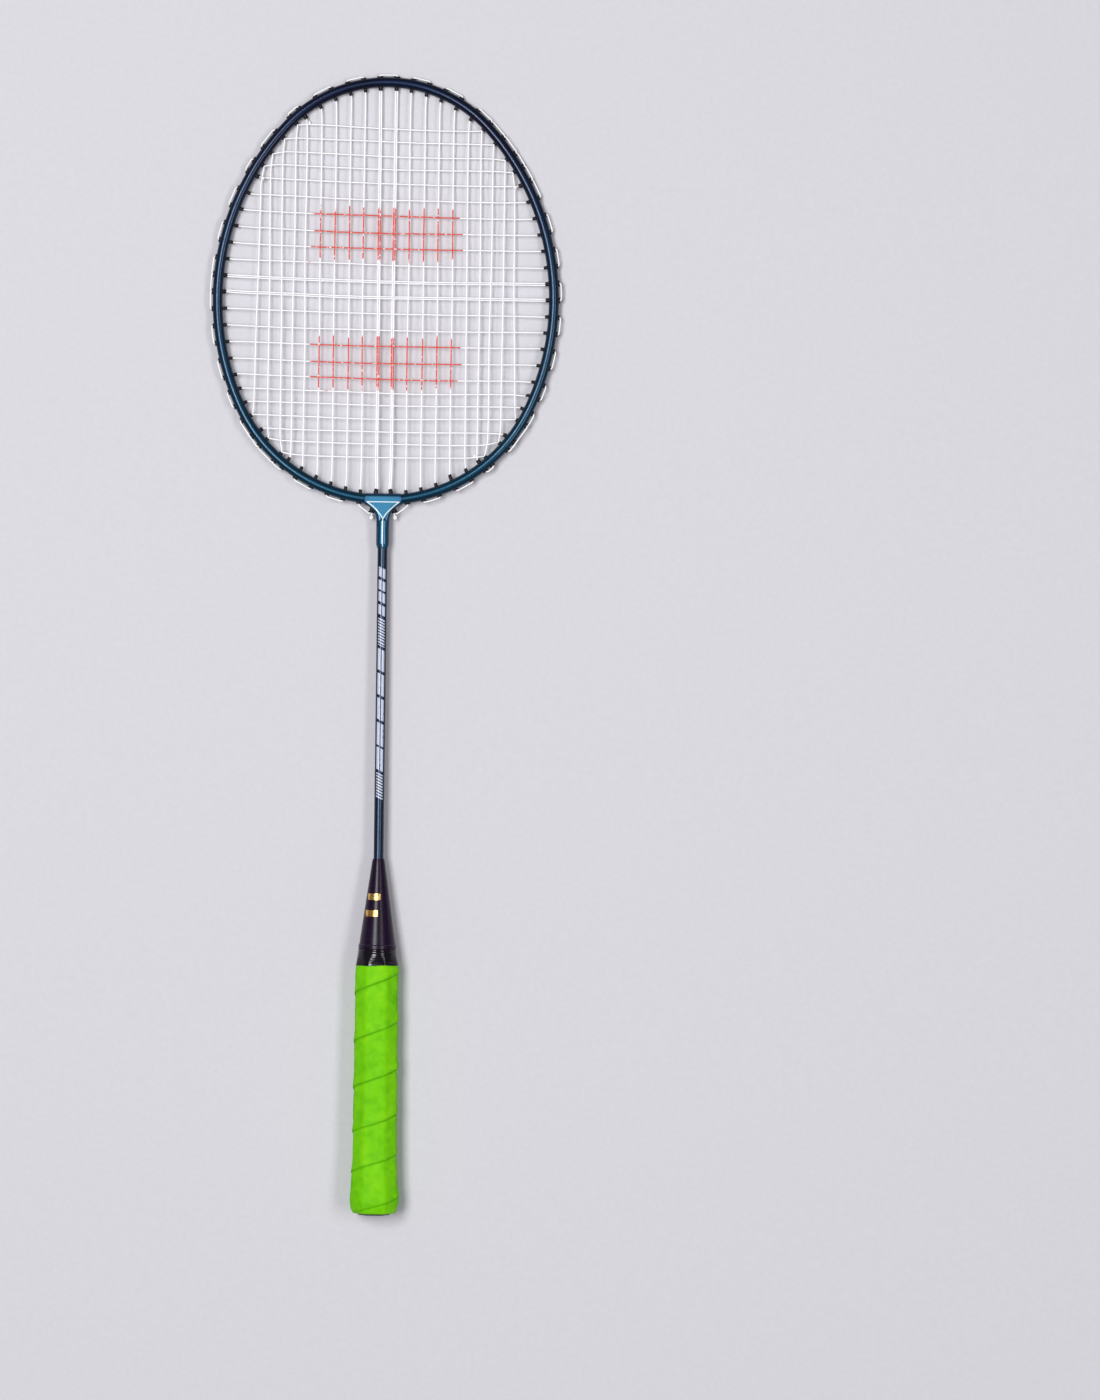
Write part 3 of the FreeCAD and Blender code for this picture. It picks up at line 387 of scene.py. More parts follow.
holes, holeOf = findHoles()
sharedNames = {name for key, name in holeOf.items()
               if key[0] == "cross" and not name.startswith("side")}


# Which way each grommet's soft end is pulled: across its axis, towards its string's own line
def findLeans():
    leans = {}
    for key, name in holeOf.items():
        normal = holes[name][1]
        away = np.array([0, 1.0 if key[3] else -1.0, 0]) if key[0] == "main" \
            else np.array([-1.0 * key[2], 0, 0])
        pull = away - normal * np.dot(away, normal)
        pull = pull * grommet["lean"] + random.normal(0, 0.15 * mm, 3)
        leans[name] = pull - normal * np.dot(pull, normal)
    return leans


leans = findLeans()


# A hole's axis: point + normal h, and inside the tube it bends over as the square of the distance
def onAxis(name, h):
    point, normal = holes[name][:2]
    h = np.asarray(h, float)[..., None]
    bend = np.clip((-h - tubeRadius) / grommet["stand"], 0, None) ** 2
    return point + normal * h + leans[name] * bend


# Where a string turns at a hole; shift runs along the tube, lift is up
def corner(name, inside, shift=0.0, lift=0.0):
    point, normal = holes[name][:2]
    if name.startswith("low_1_"):
        reach = -(head["teeTop"] + grommet["teeStand"] + grommet["teeGap"]) if inside \
            else grommet["teeTail"] + grommet["teeGap"]
        place = point + normal * reach
    else:
        reach = landing
        if name in sharedNames:
            reach = tubeRadius + grommet["sharedStand"] + grommet["sharedGap"]
        place = onAxis(name, -reach if inside else tubeRadius + grommet["flange"] + grommet["gap"])
    along = np.array([-normal[1], normal[0], 0])
    outwards = along * np.sign(along[0] * point[0] or 1) if abs(normal[1]) > 0.01 else along
    return place + outwards * shift + np.array([0, 0, lift])


# In a hole that two strands share, the main runs above the cross
def laneOf(kind, name):
    lift = bed["twin"] if holes[name][2] else 0.0
    return lift if kind == "main" else -lift


print("strings")
mainKeys = [(n, -1) for n in range(len(bed["mains"]), 0, -1)] + \
    [(n, 1) for n in range(1, len(bed["mains"]) + 1)]
waves = np.arange(1, 5)


# Mains from left to right and crosses from the top down: the two inner corners of each, how far
# each corner misses the string's own line, the length between them, and seeded bows
def layOut(ends, ideals, sideAxis):
    bows = random.normal(0, bed["wander"], (len(ends), 4)) / waves ** 0.7
    return {"ends": ends, "miss": bed["regain"] * (ideals - ends[:, :, sideAxis]), "bows": bows,
            "length": np.linalg.norm(ends[:, 1] - ends[:, 0], axis=1)}


mains = layOut(
    np.array([[corner(holeOf["main", n, s, low], True) for low in (True, False)] for n, s in mainKeys]),
    np.array([[s * bed["mains"][n - 1]] * 2 for n, s in mainKeys]), 0)
crosses = layOut(
    np.array([[corner(holeOf["cross", m, s], True) for s in (-1, 1)] for m in range(1, crossCount + 1)]),
    np.array([[crossIdeal(m, s) for s in (-1, 1)] for m in range(1, crossCount + 1)]), 1)
outermostX = (bed["outerTop"] + bed["mains"][-1]) / 2
mains["miss"][[0, -1], 1] = bed["regain"] * (np.array([-1, 1]) * outermostX - mains["ends"][[0, -1], 1, 0])
crosses["bows"][:, 0] -= bed["sag"]


# Sideways shift at t along a string: its bows, sum of c_k sin(k pi t), and the way from each
# corner to its own line. A miss m adds m ((1 - t) - (1 - d / r)^2) at the distance d from it
def sideways(line, t):
    fall, rise = (np.clip(1 - d * line["length"] / bed["settle"], 0, 1) ** 2 for d in (t, 1 - t))
    bows = (line["bows"] * np.sin(np.pi * t[..., None] * waves)).sum(-1)
    return line["miss"][..., 0] * (1 - t - fall) + line["miss"][..., 1] * (t - rise) + bows


# Every crossing, mains by crosses: x on the main's line at y, then y on the cross's line at x, by turns
def findCrossings():
    byMain = {name: value[:, None] for name, value in mains.items()}
    byCross = {name: value[None] for name, value in crosses.items()}
    low, top = byMain["ends"][..., 0, :], byMain["ends"][..., 1, :]
    left, right = byCross["ends"][..., 0, :], byCross["ends"][..., 1, :]
    y = np.broadcast_to((left[..., 1] + right[..., 1]) / 2, (len(mainKeys), crossCount))
    for _ in range(4):
        t = np.clip((y - low[..., 1]) / (top - low)[..., 1], 0, 1)
        x = low[..., 0] + (top - low)[..., 0] * t + sideways(byMain, t)
        t = np.clip((x - left[..., 0]) / (right - left)[..., 0], 0, 1)
        y = left[..., 1] + (right - left)[..., 1] * t + sideways(byCross, t)
    return x, y


crossingX, crossingY = findCrossings()


# One string in the bed. Its height is weave cos(pi k), where k counts the crossings along it;
# near the grommets it settles to the height of its corner
def bedLeg(a, b, axis, line, crossings, firstSign):
    t = np.linspace(0, 1, int(np.linalg.norm(b - a) / bed["step"]))
    path = a + (b - a) * t[:, None]
    path[:, 1 - axis] += sideways(line, t)
    k = np.interp(path[:, axis], crossings, np.arange(len(crossings)))
    weave = firstSign * bed["weave"] * np.cos(np.pi * k)
    fromEnd = np.minimum(t, 1 - t) * line["length"]
    share = smoothStep(fromEnd / bed["fade"])
    path[:, 2] = path[:, 2] * (1 - share) + (axisZ + weave) * share
    return path


# Main j passes over cross m (counted from 1) where j + m is even
def mainLeg(number, side, shift, lane):
    j = mainKeys.index((number, side))
    lifts = [lane if lane is not None else laneOf("main", holeOf["main", number, side, low])
             for low in (True, False)]
    a, b = (corner(holeOf["main", number, side, low], True, shift, lift)
            for low, lift in zip((True, False), lifts))
    ys = crossingY[j]
    used = np.flatnonzero((ys > a[1] + bed["margin"]) & (ys < b[1] - bed["margin"]))[::-1]
    sign = 1 if (j + used[0] + 1) % 2 == 0 else -1
    return bedLeg(a, b, 1, {name: value[j] for name, value in mains.items()}, ys[used], sign)


# A cross; a lift of None leaves its ends in their holes' lanes
def crossLeg(number, shift, lift):
    ends = []
    for side in (-1, 1):
        name = holeOf["cross", number, side]
        height = 0.0 if lift is not None else laneOf("cross", name)
        ends.append(corner(name, True, 0.0, height) + np.array([0, shift, 0]))
    a, b = ends
    xs = crossingX[:, number - 1]
    used = np.flatnonzero((xs > a[0] + bed["margin"]) & (xs < b[0] - bed["margin"]))
    sign = -1 if (used[0] + number) % 2 == 0 else 1
    line = {name: value[number - 1] for name, value in crosses.items()}
    return bedLeg(a, b, 0, line, xs[used], sign)


# A straight leg's points, without its last
def leg(a, b):
    count = max(2, int(np.linalg.norm(b - a) / bed["step"]))
    return a + (b - a) * (np.arange(count) / count)[:, None]


# Joins legs and single corners into one path with straight runs between them
def joinRoute(parts):
    parts = [np.atleast_2d(p) for p in parts]
    pieces = []
    for part, following in zip(parts, parts[1:]):
        pieces += [part[:-1], leg(part[-1], following[0])]
    return smoothPath(np.concatenate(pieces + [parts[-1]]), 1.5)


knot = {
    "turns": 1.9, "pitch": 0.72 * mm, "samples": 64,
    "reach": 2.2 * mm, "tail": 3.6 * mm,      # from the string's corner to the knot, and to the end
}
knotPlaces = []


# A tied end leaves its hole in one direction, and its knot sits on it
def tiedEnd(start, away):
    away = unit(away)
    knotPlaces.append((start + away * knot["reach"], away))
    return [start, start + away * knot["tail"]]


# Inside the head a tied end turns back from the tube, up or down out of the bed
def insideTail(name, lift):
    normal = holes[name][1]
    away = normal * -0.75 + np.array([0, 0, math.copysign(0.66, lift)])
    return tiedEnd(corner(name, True, 0.0, lift), away)


# One side's mains, from the middle one out, up and down by turns, to the end tied off at cross 5
def mainHalf(side):
    route = []
    for number in range(1, len(bed["mains"]) + 1):
        lowHole, topHole = (holeOf["main", number, side, low] for low in (True, False))
        shift = bed["twin"] if number == 1 else 0.0
        line = mainLeg(number, side, shift, 0.0 if number == 1 else None)
        lowOut = corner(lowHole, False, shift, 0.0 if number == 1 else laneOf("main", lowHole))
        topOut = corner(topHole, False, 0.0, laneOf("main", topHole))
        route += [topOut, line[::-1], lowOut] if number % 2 else [lowOut, line, topOut]
    tie = "side_5_%d" % side
    return route + [corner(tie, False, 0.0, bed["twin"])] + insideTail(tie, bed["twin"])


# The middle mains' second strand: over the top, and knotted under both wings of the tee
def centreStrand():
    halves = []
    for side in (-1, 1):
        lowHole, topHole = "low_1_%d" % side, "top_1_%d" % side
        out = corner(lowHole, False, -bed["twin"])
        end = tiedEnd(out, holes[lowHole][1] * 0.7 + np.array([0, 0, -0.7]))
        halves.append(end[::-1] + [mainLeg(1, side, -bed["twin"], 0.0),
                                   corner(topHole, False, 0.0, -bed["twin"])])
    return halves[0] + [part[::-1] if part.ndim > 1 else part for part in halves[1][::-1]]


# Side to side down the head; the two doubled crosses are passed a second time before going on
def crossRoute():
    first, last = bed["doubledCrosses"]
    order = [(n, bed["twin"] if n in (first, last) else 0.0) for n in range(1, last + 1)]
    order += [(first, -bed["twin"]), (last, -bed["twin"])]
    order += [(n, 0.0) for n in range(last + 1, crossCount + 1)]
    route = insideTail("top_6_-1", -bed["twin"])[::-1] + [corner("top_6_-1", False, 0, -bed["twin"])]
    for k, (number, shift) in enumerate(order):
        line = crossLeg(number, shift, shift or None)
        outer = []
        for side in (-1, 1):
            name = holeOf["cross", number, side]
            lane = math.copysign(laneOf("cross", name), -shift) if shift else laneOf("cross", name)
            outer.append(corner(name, False, 0.0, lane))
        passed = [outer[0], line, outer[1]]
        route += passed if k % 2 == 0 else [outer[1], line[::-1], outer[0]]
    return route + [corner("low_7_1", False, 0, -bed["twin"])] + insideTail("low_7_1", -bed["twin"])


stringSides = 8
vertical = np.array([0, 0, 1.0])


# Eight-sided string with its length, in metres, along V of the UV map
def stringMesh(name, path):
    lengths = np.concatenate([[0], np.cumsum(np.linalg.norm(np.diff(path, axis=0), axis=1))])
    print("  %s: %.0f mm" % (name, lengths[-1] / mm))
    around = np.linspace(0, 1, stringSides + 1)
    uv = np.stack(np.broadcast_arrays(around[None], lengths[:, None]), -1)
    return gridMesh(name, [tubeGrid(path, bed["radius"], stringSides, vertical)], uvs=[uv])


# Braided nylon, dyed white and waxed: a soft sheen, faint diagonal strands 0.9 mm long, and
# stencil ink that has soaked into it within two plain equal bars
stencil = {
    "bars": [(0, 572.0, 44.0, 15.0), (0, 497.0, 44.0, 15.0)],   # x, along, half width, half height; mm
    "bleed": 9.6,                 # mm, how strongly the edge noise moves the ink's edge
}
nylon, tree, shader, place = newMaterial("braided_nylon", {
    "Roughness": 0.42, "IOR": 1.53, "Sheen Weight": 0.15})
inMm = addNode(tree, "Mapping", {"Vector": place, "Location": (0, -buttY / mm, 0), "Scale": [1 / mm] * 3})
edgeNoise = addNode(tree, "TexNoise", {"Vector": inMm, "Scale": 0.22, "Detail": 3.0})
ragged = addNode(tree, "Math", [edgeNoise, 0.5], operation="SUBTRACT")
ragged = addNode(tree, "Math", [ragged, stencil["bleed"]], operation="MULTIPLY")
inked = addNode(tree, "Math", [outsideBars(tree, inMm, stencil["bars"]), ragged], operation="ADD")
ink = addNode(tree, "MapRange", {"Value": inked, "From Min": 0.6, "From Max": -0.6})
patchy = addNode(tree, "TexNoise", {"Vector": inMm, "Scale": 0.6, "Detail": 2.0})
patchy = addNode(tree, "MapRange", {"Value": patchy, "From Min": 0.3, "From Max": 0.42})
ink = allOf(tree, ink, patchy)
inkTone = addNode(tree, "ValToRGB", [edgeNoise], [(0.35, "#D62C08"), (0.65, "#E43D12")])
whiteTone = addNode(tree, "ValToRGB", [edgeNoise], [(0.3, "#F3F3F6"), (0.7, "#FBFBFD")])
colour = addNode(tree, "MixRGB", [ink, whiteTone, inkTone])
thread = addNode(tree, "SeparateXYZ", [(place[0], "UV")])
turns = addNode(tree, "Math", [(thread, 0), 4 * math.pi], operation="MULTIPLY")
length = addNode(tree, "Math", [(thread, 1), 2 * math.pi / (0.9 * mm)], operation="MULTIPLY")
plus = addNode(tree, "Math", [length, turns], operation="ADD")
minus = addNode(tree, "Math", [length, turns], operation="SUBTRACT")
strands = [addNode(tree, "Math", [phase], operation="SINE") for phase in (plus, minus)]
braid = addNode(tree, "Math", strands, operation="MAXIMUM")
bump = addNode(tree, "Bump", {"Height": braid, "Strength": 0.5, "Distance": 0.03 * mm})
setInputs(tree, shader, {"Base Color": colour, "Normal": bump})

leftHalf = mainHalf(-1)
flipped = [part[::-1] if part.ndim > 1 else part for part in leftHalf[::-1]]
paths = {"main_strings": joinRoute(flipped + mainHalf(1)),
         "centre_strings": joinRoute(centreStrand()),
         "cross_strings": joinRoute(crossRoute())}
for (name, path), node in zip(paths.items(), ("main_string", "centre_strand", "cross_string")):
    addPiece(stringMesh(name, path), nylon, "string_nylon", node)


# A tied end's knot: a helix of string round the tail, drawn in and thinner at both ends
def knotGrid(middle, away):
    side = unit(np.cross(away, vertical))
    across = np.cross(away, side)
    t = np.linspace(-0.5, 0.5, knot["samples"])
    angle = 2 * np.pi * knot["turns"] * t
    radius = bed["radius"] * (2.0 - 0.35 * smoothStep((np.abs(t) - 0.42) / 0.08))
    path = middle + away * (t * knot["turns"] * knot["pitch"])[:, None] \
        + radius[:, None] * (np.cos(angle)[:, None] * side + np.sin(angle)[:, None] * across)
    taper = bed["radius"] * (1 - 0.5 * smoothStep((np.abs(t) - 0.45) / 0.05))
    return tubeGrid(path, taper, stringSides, away)


knotRows = np.linspace(0, knot["turns"] * 5 * mm, knot["samples"])
knotUv = np.stack(np.broadcast_arrays(np.linspace(0, 1, stringSides + 1)[None], knotRows[:, None]), -1)
grids = [knotGrid(middle, away) for middle, away in knotPlaces]
addPiece(gridMesh("tied_ends", grids, uvs=[knotUv] * len(grids)), nylon, "string_nylon", "string_knots")

print("grommets")
# Moulded nylon, black: semi-matt, with a fine moulded grain that mottles it
mouldedNylon = grainedMaterial(
    "moulded_nylon", {"IOR": 1.53, "Specular IOR Level": 0.2}, 0.35 * mm, 3.0,
    stops=[(0.35, "#0B070E"), (0.7, "#1A121D")], dull=(0.32, 0.55), bump=(0.4, 0.05 * mm))


# A closed profile (radius, height) turned about the hole's bent axis. The barrel narrows to its
# mouth, and the flange is a saddle: it drops by R - sqrt(R^2 - z^2) to lie on the tube
def grommetGrid(name):
    point, normal, twin = holes[name]
    atTee = name.startswith("low_1_")
    radius, bore = (grommet["wideRadius"], grommet["wideBore"]) if twin \
        else (grommet["radius"], grommet["bore"])
    inner = -(head["teeTop"] + grommet["teeStand"]) if atTee \
        else -(tubeRadius + grommet["sharedStand" if name in sharedNames else "stand"]
               + grommet["proud"].get(name, 0))
    outer = grommet["teeTail"] - grommet["flange"] if atTee else tubeRadius
    lip, flange, edge = grommet["lip"], grommet["flange"], 0.12 * mm
    narrow = radius * 0.9
    profile = np.array([
        (bore, inner + edge), (bore + edge * 0.7, inner), (narrow - edge, inner),
        (narrow, inner + edge), ((narrow + radius) / 2, (inner - tubeRadius) / 2),
        (radius, -tubeRadius * 0.6), (radius, outer - edge), (radius + lip - edge, outer - edge),
        (radius + lip, outer), (radius + lip, outer + flange * 0.55),
        (radius + lip - edge, outer + flange * 0.85), (bore + 2 * edge, outer + flange),
        (bore, outer + flange - edge), (bore, 0.0), (bore, inner * 0.7)])
    angle = np.linspace(0, 2 * np.pi, 16, endpoint=False)
    tangent = np.array([-normal[1], normal[0], 0])
    ring = np.cos(angle)[:, None] * tangent + np.sin(angle)[:, None] * vertical
    r, h = profile[:, 0, None], profile[:, 1, None]
    rise = r * np.sin(angle)
    drop = 0 if atTee else (tubeRadius - np.sqrt(tubeRadius ** 2 - np.minimum(rise, tubeRadius) ** 2))
    h = h - drop * smoothStep((h - outer + 2 * edge) / edge)
    axis = point + normal * h[..., None] if atTee else onAxis(name, h)
    return axis + r[..., None] * ring


groups = {name: [] for name in ("top", "low", "left", "right", "wide", "tee")}
for name, (_, _, twin) in holes.items():
    kind, _, side = name.split("_")
    if kind == "side":
        kind = "left" if side == "-1" else "right"
    groups["tee" if name.startswith("low_1_") else "wide" if twin else kind].append(name)
for group, names in groups.items():
    grids = [grommetGrid(name) for name in names]
    mesh = gridMesh("grommet_barrels_" + group, grids, closedRows=True, sharpAngle=50)
    addPiece(mesh, mouldedNylon, "grommet_nylon", "grommets_" + group)

print("grip and tape")
grip = {
    "width": 26.0 * mm, "height": 23.6 * mm, "bevel": 0.3,
    "stations": [(1.0, -2.4), (3.2, 0.9), (6.4, 2.5), (9.6, 2.9), (18.0, 1.3), (31.0, 0.0),
                 (143.0, -0.9), (145.7, -1.7), (151.0, -4.4)],   # along, growth; mm
    "seams": [-19.7, 5.5, 30.7, 53.7, 80.0, 107.2, 135.5, 163.8],    # along, on the front, mm
    "thickness": 1.8 * mm,
    "step": 0.5 * mm,             # how far a turn's edge stands over the turn below it
    "overlap": 0.25,              # share of a turn that lies on the one below
    "dents": 0.1 * mm,
    "span": (150.9, 1.7),         # along of the outside's first and last row, mm
    "curl": [(1.45, -1.0), (1.15, -1.9), (1.02, -2.9), (1.0, -4.1), (1.03, -5.3), (1.2, -6.0)],
    "tuck": [87.0, 150.7],        # the last rows of the inside, mm
    "groove": 0.18 * mm, "grooveWidth": 0.7, "turnWidth": 26,   # beside a turn's edge; widths in mm
    "sink": 0.12 * mm,            # keeps the dents and turns inside the wrap's outline
    "softness": 20,               # the octagon's corners: higher is sharper
    "columns": 152,
    "rowGap": 0.42,
}
theta = np.linspace(0, 2 * np.pi, grip["columns"], endpoint=False)   # from +Z towards +X


# Radius of a soft octagon: (sum over its eight sides of max(0, cos(a - a_i) / d_i)^p)^(-1/p),
# where side i faces the angle a_i at the distance d_i from the axis
def octagonRadius(width, height, angle):
    flat, tall = width[:, None] / 2, height[:, None] / 2
    bevel = (flat + tall * (1 - 2 * grip["bevel"])) / math.sqrt(2)
    total = 0
    for k, distance in enumerate([tall, bevel, flat, bevel] * 2):
        facing = np.clip(np.cos(angle - k * math.pi / 4)[None], 0, None)
        total = total + (facing / distance) ** grip["softness"]
    return total ** (-1 / grip["softness"])


# Rows and columns of (radius, along in mm) to points about the axis
def aboutAxis(radius, along, angle):
    y = buttY + np.broadcast_to(along, radius.shape) * mm
    return np.stack([radius * np.sin(angle), y, axisZ + radius * np.cos(angle)], -1)


# The wrap's section follows a closed loop of (along, growth): up the outside, over the butt's
# edge, back along the inside. Turns are counted by along less angle / 2 pi, so seams climb round it
def wrapGrid():
    stations = np.array(grip["stations"])
    outAlong = np.arange(*grip["span"], -grip["rowGap"])
    outGrowth = np.interp(outAlong, *stations.T)
    outGrowth = smoothPath(outGrowth[:, None], 3.0)[:, 0]
    curl = np.array(grip["curl"])
    inAlong = np.concatenate([stations[1:-1, 0], grip["tuck"]])
    inAlong.sort()
    inGrowth = np.interp(inAlong, *stations.T) - 2 * grip["thickness"] / mm
    along = np.concatenate([outAlong, curl[:, 0], inAlong])
    growth = np.concatenate([outGrowth, curl[:, 1], inGrowth]) * mm
    radius = octagonRadius(grip["width"] + growth, grip["height"] + growth, theta)
    seams = np.array(grip["seams"])
    climb = np.interp(along, seams, np.arange(len(seams)))[:, None]
    share = (climb - theta[None] / (2 * np.pi)) % 1
    over = grip["step"] * (1 - smoothStep(share / grip["overlap"]))
    groove = -grip["groove"] * np.exp(-((1 - share) * grip["turnWidth"] / grip["grooveWidth"]) ** 2)
    x, z = (grip["turnWidth"] / 2 * wave(theta)[None] for wave in (np.sin, np.cos))
    dents = grip["dents"] * roughness2d(along[:, None], x, 7, 0.25, 0.9)
    dents = dents + 0.35 * grip["dents"] * roughness2d(along[:, None], z, 6, 1.2, 2.4)
    outside = (np.arange(len(along)) < len(outAlong)) * smoothStep((along - 1.5) / 3) \
        * smoothStep((145.5 - along) / 2.5)
    radius = radius + (over + groove + dents - grip["sink"]) * outside[:, None]
    around = np.linspace(0, 1, grip["columns"] + 1)[None]
    uv = np.stack(np.broadcast_arrays(climb - around, around), -1)
    return aboutAxis(radius, along[:, None], theta), np.concatenate([uv, uv[:1]])


# Polyurethane grip strip, lime: soft and dry, fine pores, and painted shade along the seams
polyurethane, tree, shader, place = newMaterial("polyurethane_strip", {
    "IOR": 1.46, "Specular IOR Level": 0.08})
uvParts = addNode(tree, "SeparateXYZ", [(place[0], "UV")])
share = addNode(tree, "Math", [(uvParts, 0)], operation="FRACT")
# painted shade: darker lines at each turn's edge and in the groove beside it, made stronger or weaker by a
# noise
seamShade = addNode(tree, "ValToRGB", [share], [(0.0, "#B4CCAA"), (0.025, "#E4EFE0"), (0.07, "#FFFFFF"),
                                 (0.94, "#FFFFFF"), (0.982, "#DDE9D8"), (1.0, "#A6C59A")])
cloudy = addNode(tree, "TexNoise", {"Vector": place, "Scale": 1 / (14 * mm), "Detail": 4.0})
mottled = addNode(tree, "TexNoise", {"Vector": place, "Scale": 1 / (4 * mm), "Detail": 4.0})
patches = addNode(tree, "MixRGB", [0.45, cloudy, mottled])
base = addNode(tree, "ValToRGB", [patches], [(0.35, "#5FB205"), (0.5, "#6DC008"), (0.65, "#7CC80E")])
seamShadeStrength = addNode(tree, "MapRange", {"Value": cloudy, "From Min": 0.35, "From Max": 0.6, "To Min": 0.35})
colour = addNode(tree, "MixRGB", [seamShadeStrength, base, seamShade], blend_type="MULTIPLY")
pores = addNode(tree, "TexVoronoi", {"Vector": place, "Scale": 1 / (0.55 * mm)})
fibres = addNode(tree, "TexNoise", {"Vector": place, "Scale": 1 / (0.9 * mm), "Detail": 5.0})
height = addNode(tree, "Math", [pores, fibres], operation="ADD")
bump = addNode(tree, "Bump", {"Height": height, "Strength": 0.35, "Distance": 0.08 * mm})
dull = addNode(tree, "MapRange", {"Value": cloudy, "To Min": 0.46, "To Max": 0.62})
setInputs(tree, shader, {"Base Color": colour, "Roughness": dull, "Normal": bump})
points, uv = wrapGrid()
addPiece(gridMesh("wound_grip", [points], closedRows=True, uvs=[uv]), polyurethane, "grip_green",
         "grip_wrap")

tape = {
    "stations": [(145.7, 24.95, 22.9), (148.5, 23.7, 22.0), (155.1, 22.0, 21.6)],  # along, width, height; mm
    "thickness": 0.22 * mm,
    "endAngle": 2.3,              # the free end lies over the first turn from here, radians
    "endStep": 0.16 * mm,
    "wrinkle": 0.11 * mm,
    "rows": 56,
}


# Outside then inside, closed: an octagon below that turns round above, with shallow creases
# that run round and slightly up, and a wavy lower edge
def tapeGrid():
    stations = np.array(tape["stations"])
    outside = np.linspace(stations[0, 0], stations[-1, 0], tape["rows"])
    along = np.concatenate([outside, outside[::-6]])
    inner = (np.arange(len(along)) >= tape["rows"])[:, None]
    width, height = (np.interp(along, stations[:, 0], stations[:, k]) * mm for k in (1, 2))
    soft = octagonRadius(width, height, theta)
    roundness = smoothStep((along - 147.0) / 6.0)[:, None]
    radius = soft * (1 - roundness) + (width[:, None] / 2) * roundness
    past = (theta[None] - tape["endAngle"]) % (2 * np.pi)
    lap = tape["endStep"] * (1 - smoothStep(past / 1.2))
    slant = along[:, None] + 0.8 * np.sin(theta)[None]
    creases = roughness2d(slant * 1.9, np.cos(theta)[None] * 2.0, 8, 0.9, 2.6)
    creases = tape["wrinkle"] * np.abs(creases) ** 1.5 * smoothStep((along - 145.9) / 1.2)[:, None]
    radius = radius + np.where(inner, -tape["thickness"], lap + creases)
    lowEdge = 1 - smoothStep((along - 145.7) / 2.5)[:, None]
    waviness = 0.22 * np.sin(2 * theta + 0.7) + 0.12 * np.sin(5 * theta)
    return aboutAxis(radius, along[:, None] + lowEdge * waviness[None], theta)


# PVC electrical tape, black: stretched tight, glossy, with soft creases that catch the light
vinyl = grainedMaterial(
    "vinyl_tape", {"IOR": 1.53, "Specular IOR Level": 0.3}, 3 * mm, 4.0, stretch=(1.0, 3.0, 1.0),
    stops=[(0.35, "#07040A"), (0.7, "#120A1A")], dull=(0.1, 0.2), bump=(0.3, 0.15 * mm))
addPiece(gridMesh("wound_tape", [tapeGrid()], closedRows=True), vinyl, "tape_vinyl", "finishing_tape")

print("finishes for the rigid parts")


# A CAD node that stays as it is gets its finish
def finish(name, material):
    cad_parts[name].material_slots[0].material = material


# Metal flakes that sparkle through the paint, and rubbed patches that dull it. The flakes are drawn
# 0.3 mm across, about ten times too coarse, or they wouldn't show
def flakedPaint(tree, shader, place, base, darkest, patch, lowest, highest):
    flakes = addNode(tree, "TexVoronoi", {"Vector": place, "Scale": 1 / (0.3 * mm)})
    spark = addNode(tree, "ValToRGB", [(flakes, "Color")], [(0.0, darkest), (0.8, "#FFFFFF")])
    rubbed = addNode(tree, "TexNoise", {"Vector": place, "Scale": 1 / patch, "Detail": 6.0})
    dull = addNode(tree, "MapRange", {"Value": rubbed, "To Min": lowest, "To Max": highest})
    bump = addNode(tree, "Bump", {"Height": rubbed, "Strength": 0.15, "Distance": 0.05 * mm})
    setInputs(tree, shader, {"Roughness": dull, "Coat Normal": bump})
    return addNode(tree, "MixRGB", [1.0, base, spark], blend_type="MULTIPLY")


# Stoved metallic enamel on steel, navy: fine flakes under a clear coat, near black where it
# turns away and steel blue where a light runs along the tube
def navyEnamel(name, tealShare):
    material, tree, shader, place = newMaterial(name, {
        "Metallic": 0.85, "Coat Weight": 0.3, "Coat Roughness": 0.12, "Coat IOR": 1.5})
    tint = addNode(tree, "TexNoise", {"Vector": place, "Scale": 1 / (40 * mm), "Detail": 3.0})
    navy = addNode(tree, "ValToRGB", [tint], [(0.35, "#07132F"), (0.6, "#091C3A"), (0.75, "#0B2741")])
    parts = addNode(tree, "SeparateXYZ", [place])
    towardsTee = addNode(tree, "MapRange", {"Value": (parts, 1), "From Min": head["topY"] - 40 * mm,
                                            "From Max": head["teeY"], "To Max": tealShare})
    colour = addNode(tree, "MixRGB", [towardsTee, navy, hexColour("#063A52")])
    colour = flakedPaint(tree, shader, place, colour, "#C8C8C8", 6 * mm, 0.32, 0.48)
    return material, tree, shader, place, colour


hoopPaint, tree, shader, place, colour = navyEnamel("stoved_enamel_hoop", 1.0)
setInputs(tree, shader, {"Base Color": colour})
finish("hoop_tube", hoopPaint)

# The shaft's print: pairs of plain slanted bars, and hatched bars, in off-white on the front only
shaftPrint = {
    "solid": [(low, low + 5.6) for low in (371.4, 364.2, 357.0, 349.8)]        # along, mm
             + [(low, low + 12.8) for low in (317.2, 302.7, 288.2, 273.7, 259.2)],
    "hatched": [(331.5, 348), (242, 257)],
    "halfWidth": 1.9, "slit": 0.35, "slant": 0.5, "pitch": 1.7, "inked": 0.55,
    "range": (230.0, 390.0),      # along, what the ramps cover, mm
}
fromButt = {"Location": (0, -buttY / mm, -axisZ / mm), "Scale": [1 / mm] * 3}    # x, along, height; mm
shaftPaint, tree, shader, place, colour = navyEnamel("stoved_enamel_shaft", 0.2)
inMm = addNode(tree, "Mapping", {"Vector": place, **fromButt})
parts = addNode(tree, "SeparateXYZ", [inMm])
slanted = addNode(tree, "Math", [(parts, 0), shaftPrint["slant"], (parts, 1)], operation="MULTIPLY_ADD")
rangeLow, rangeHigh = shaftPrint["range"]
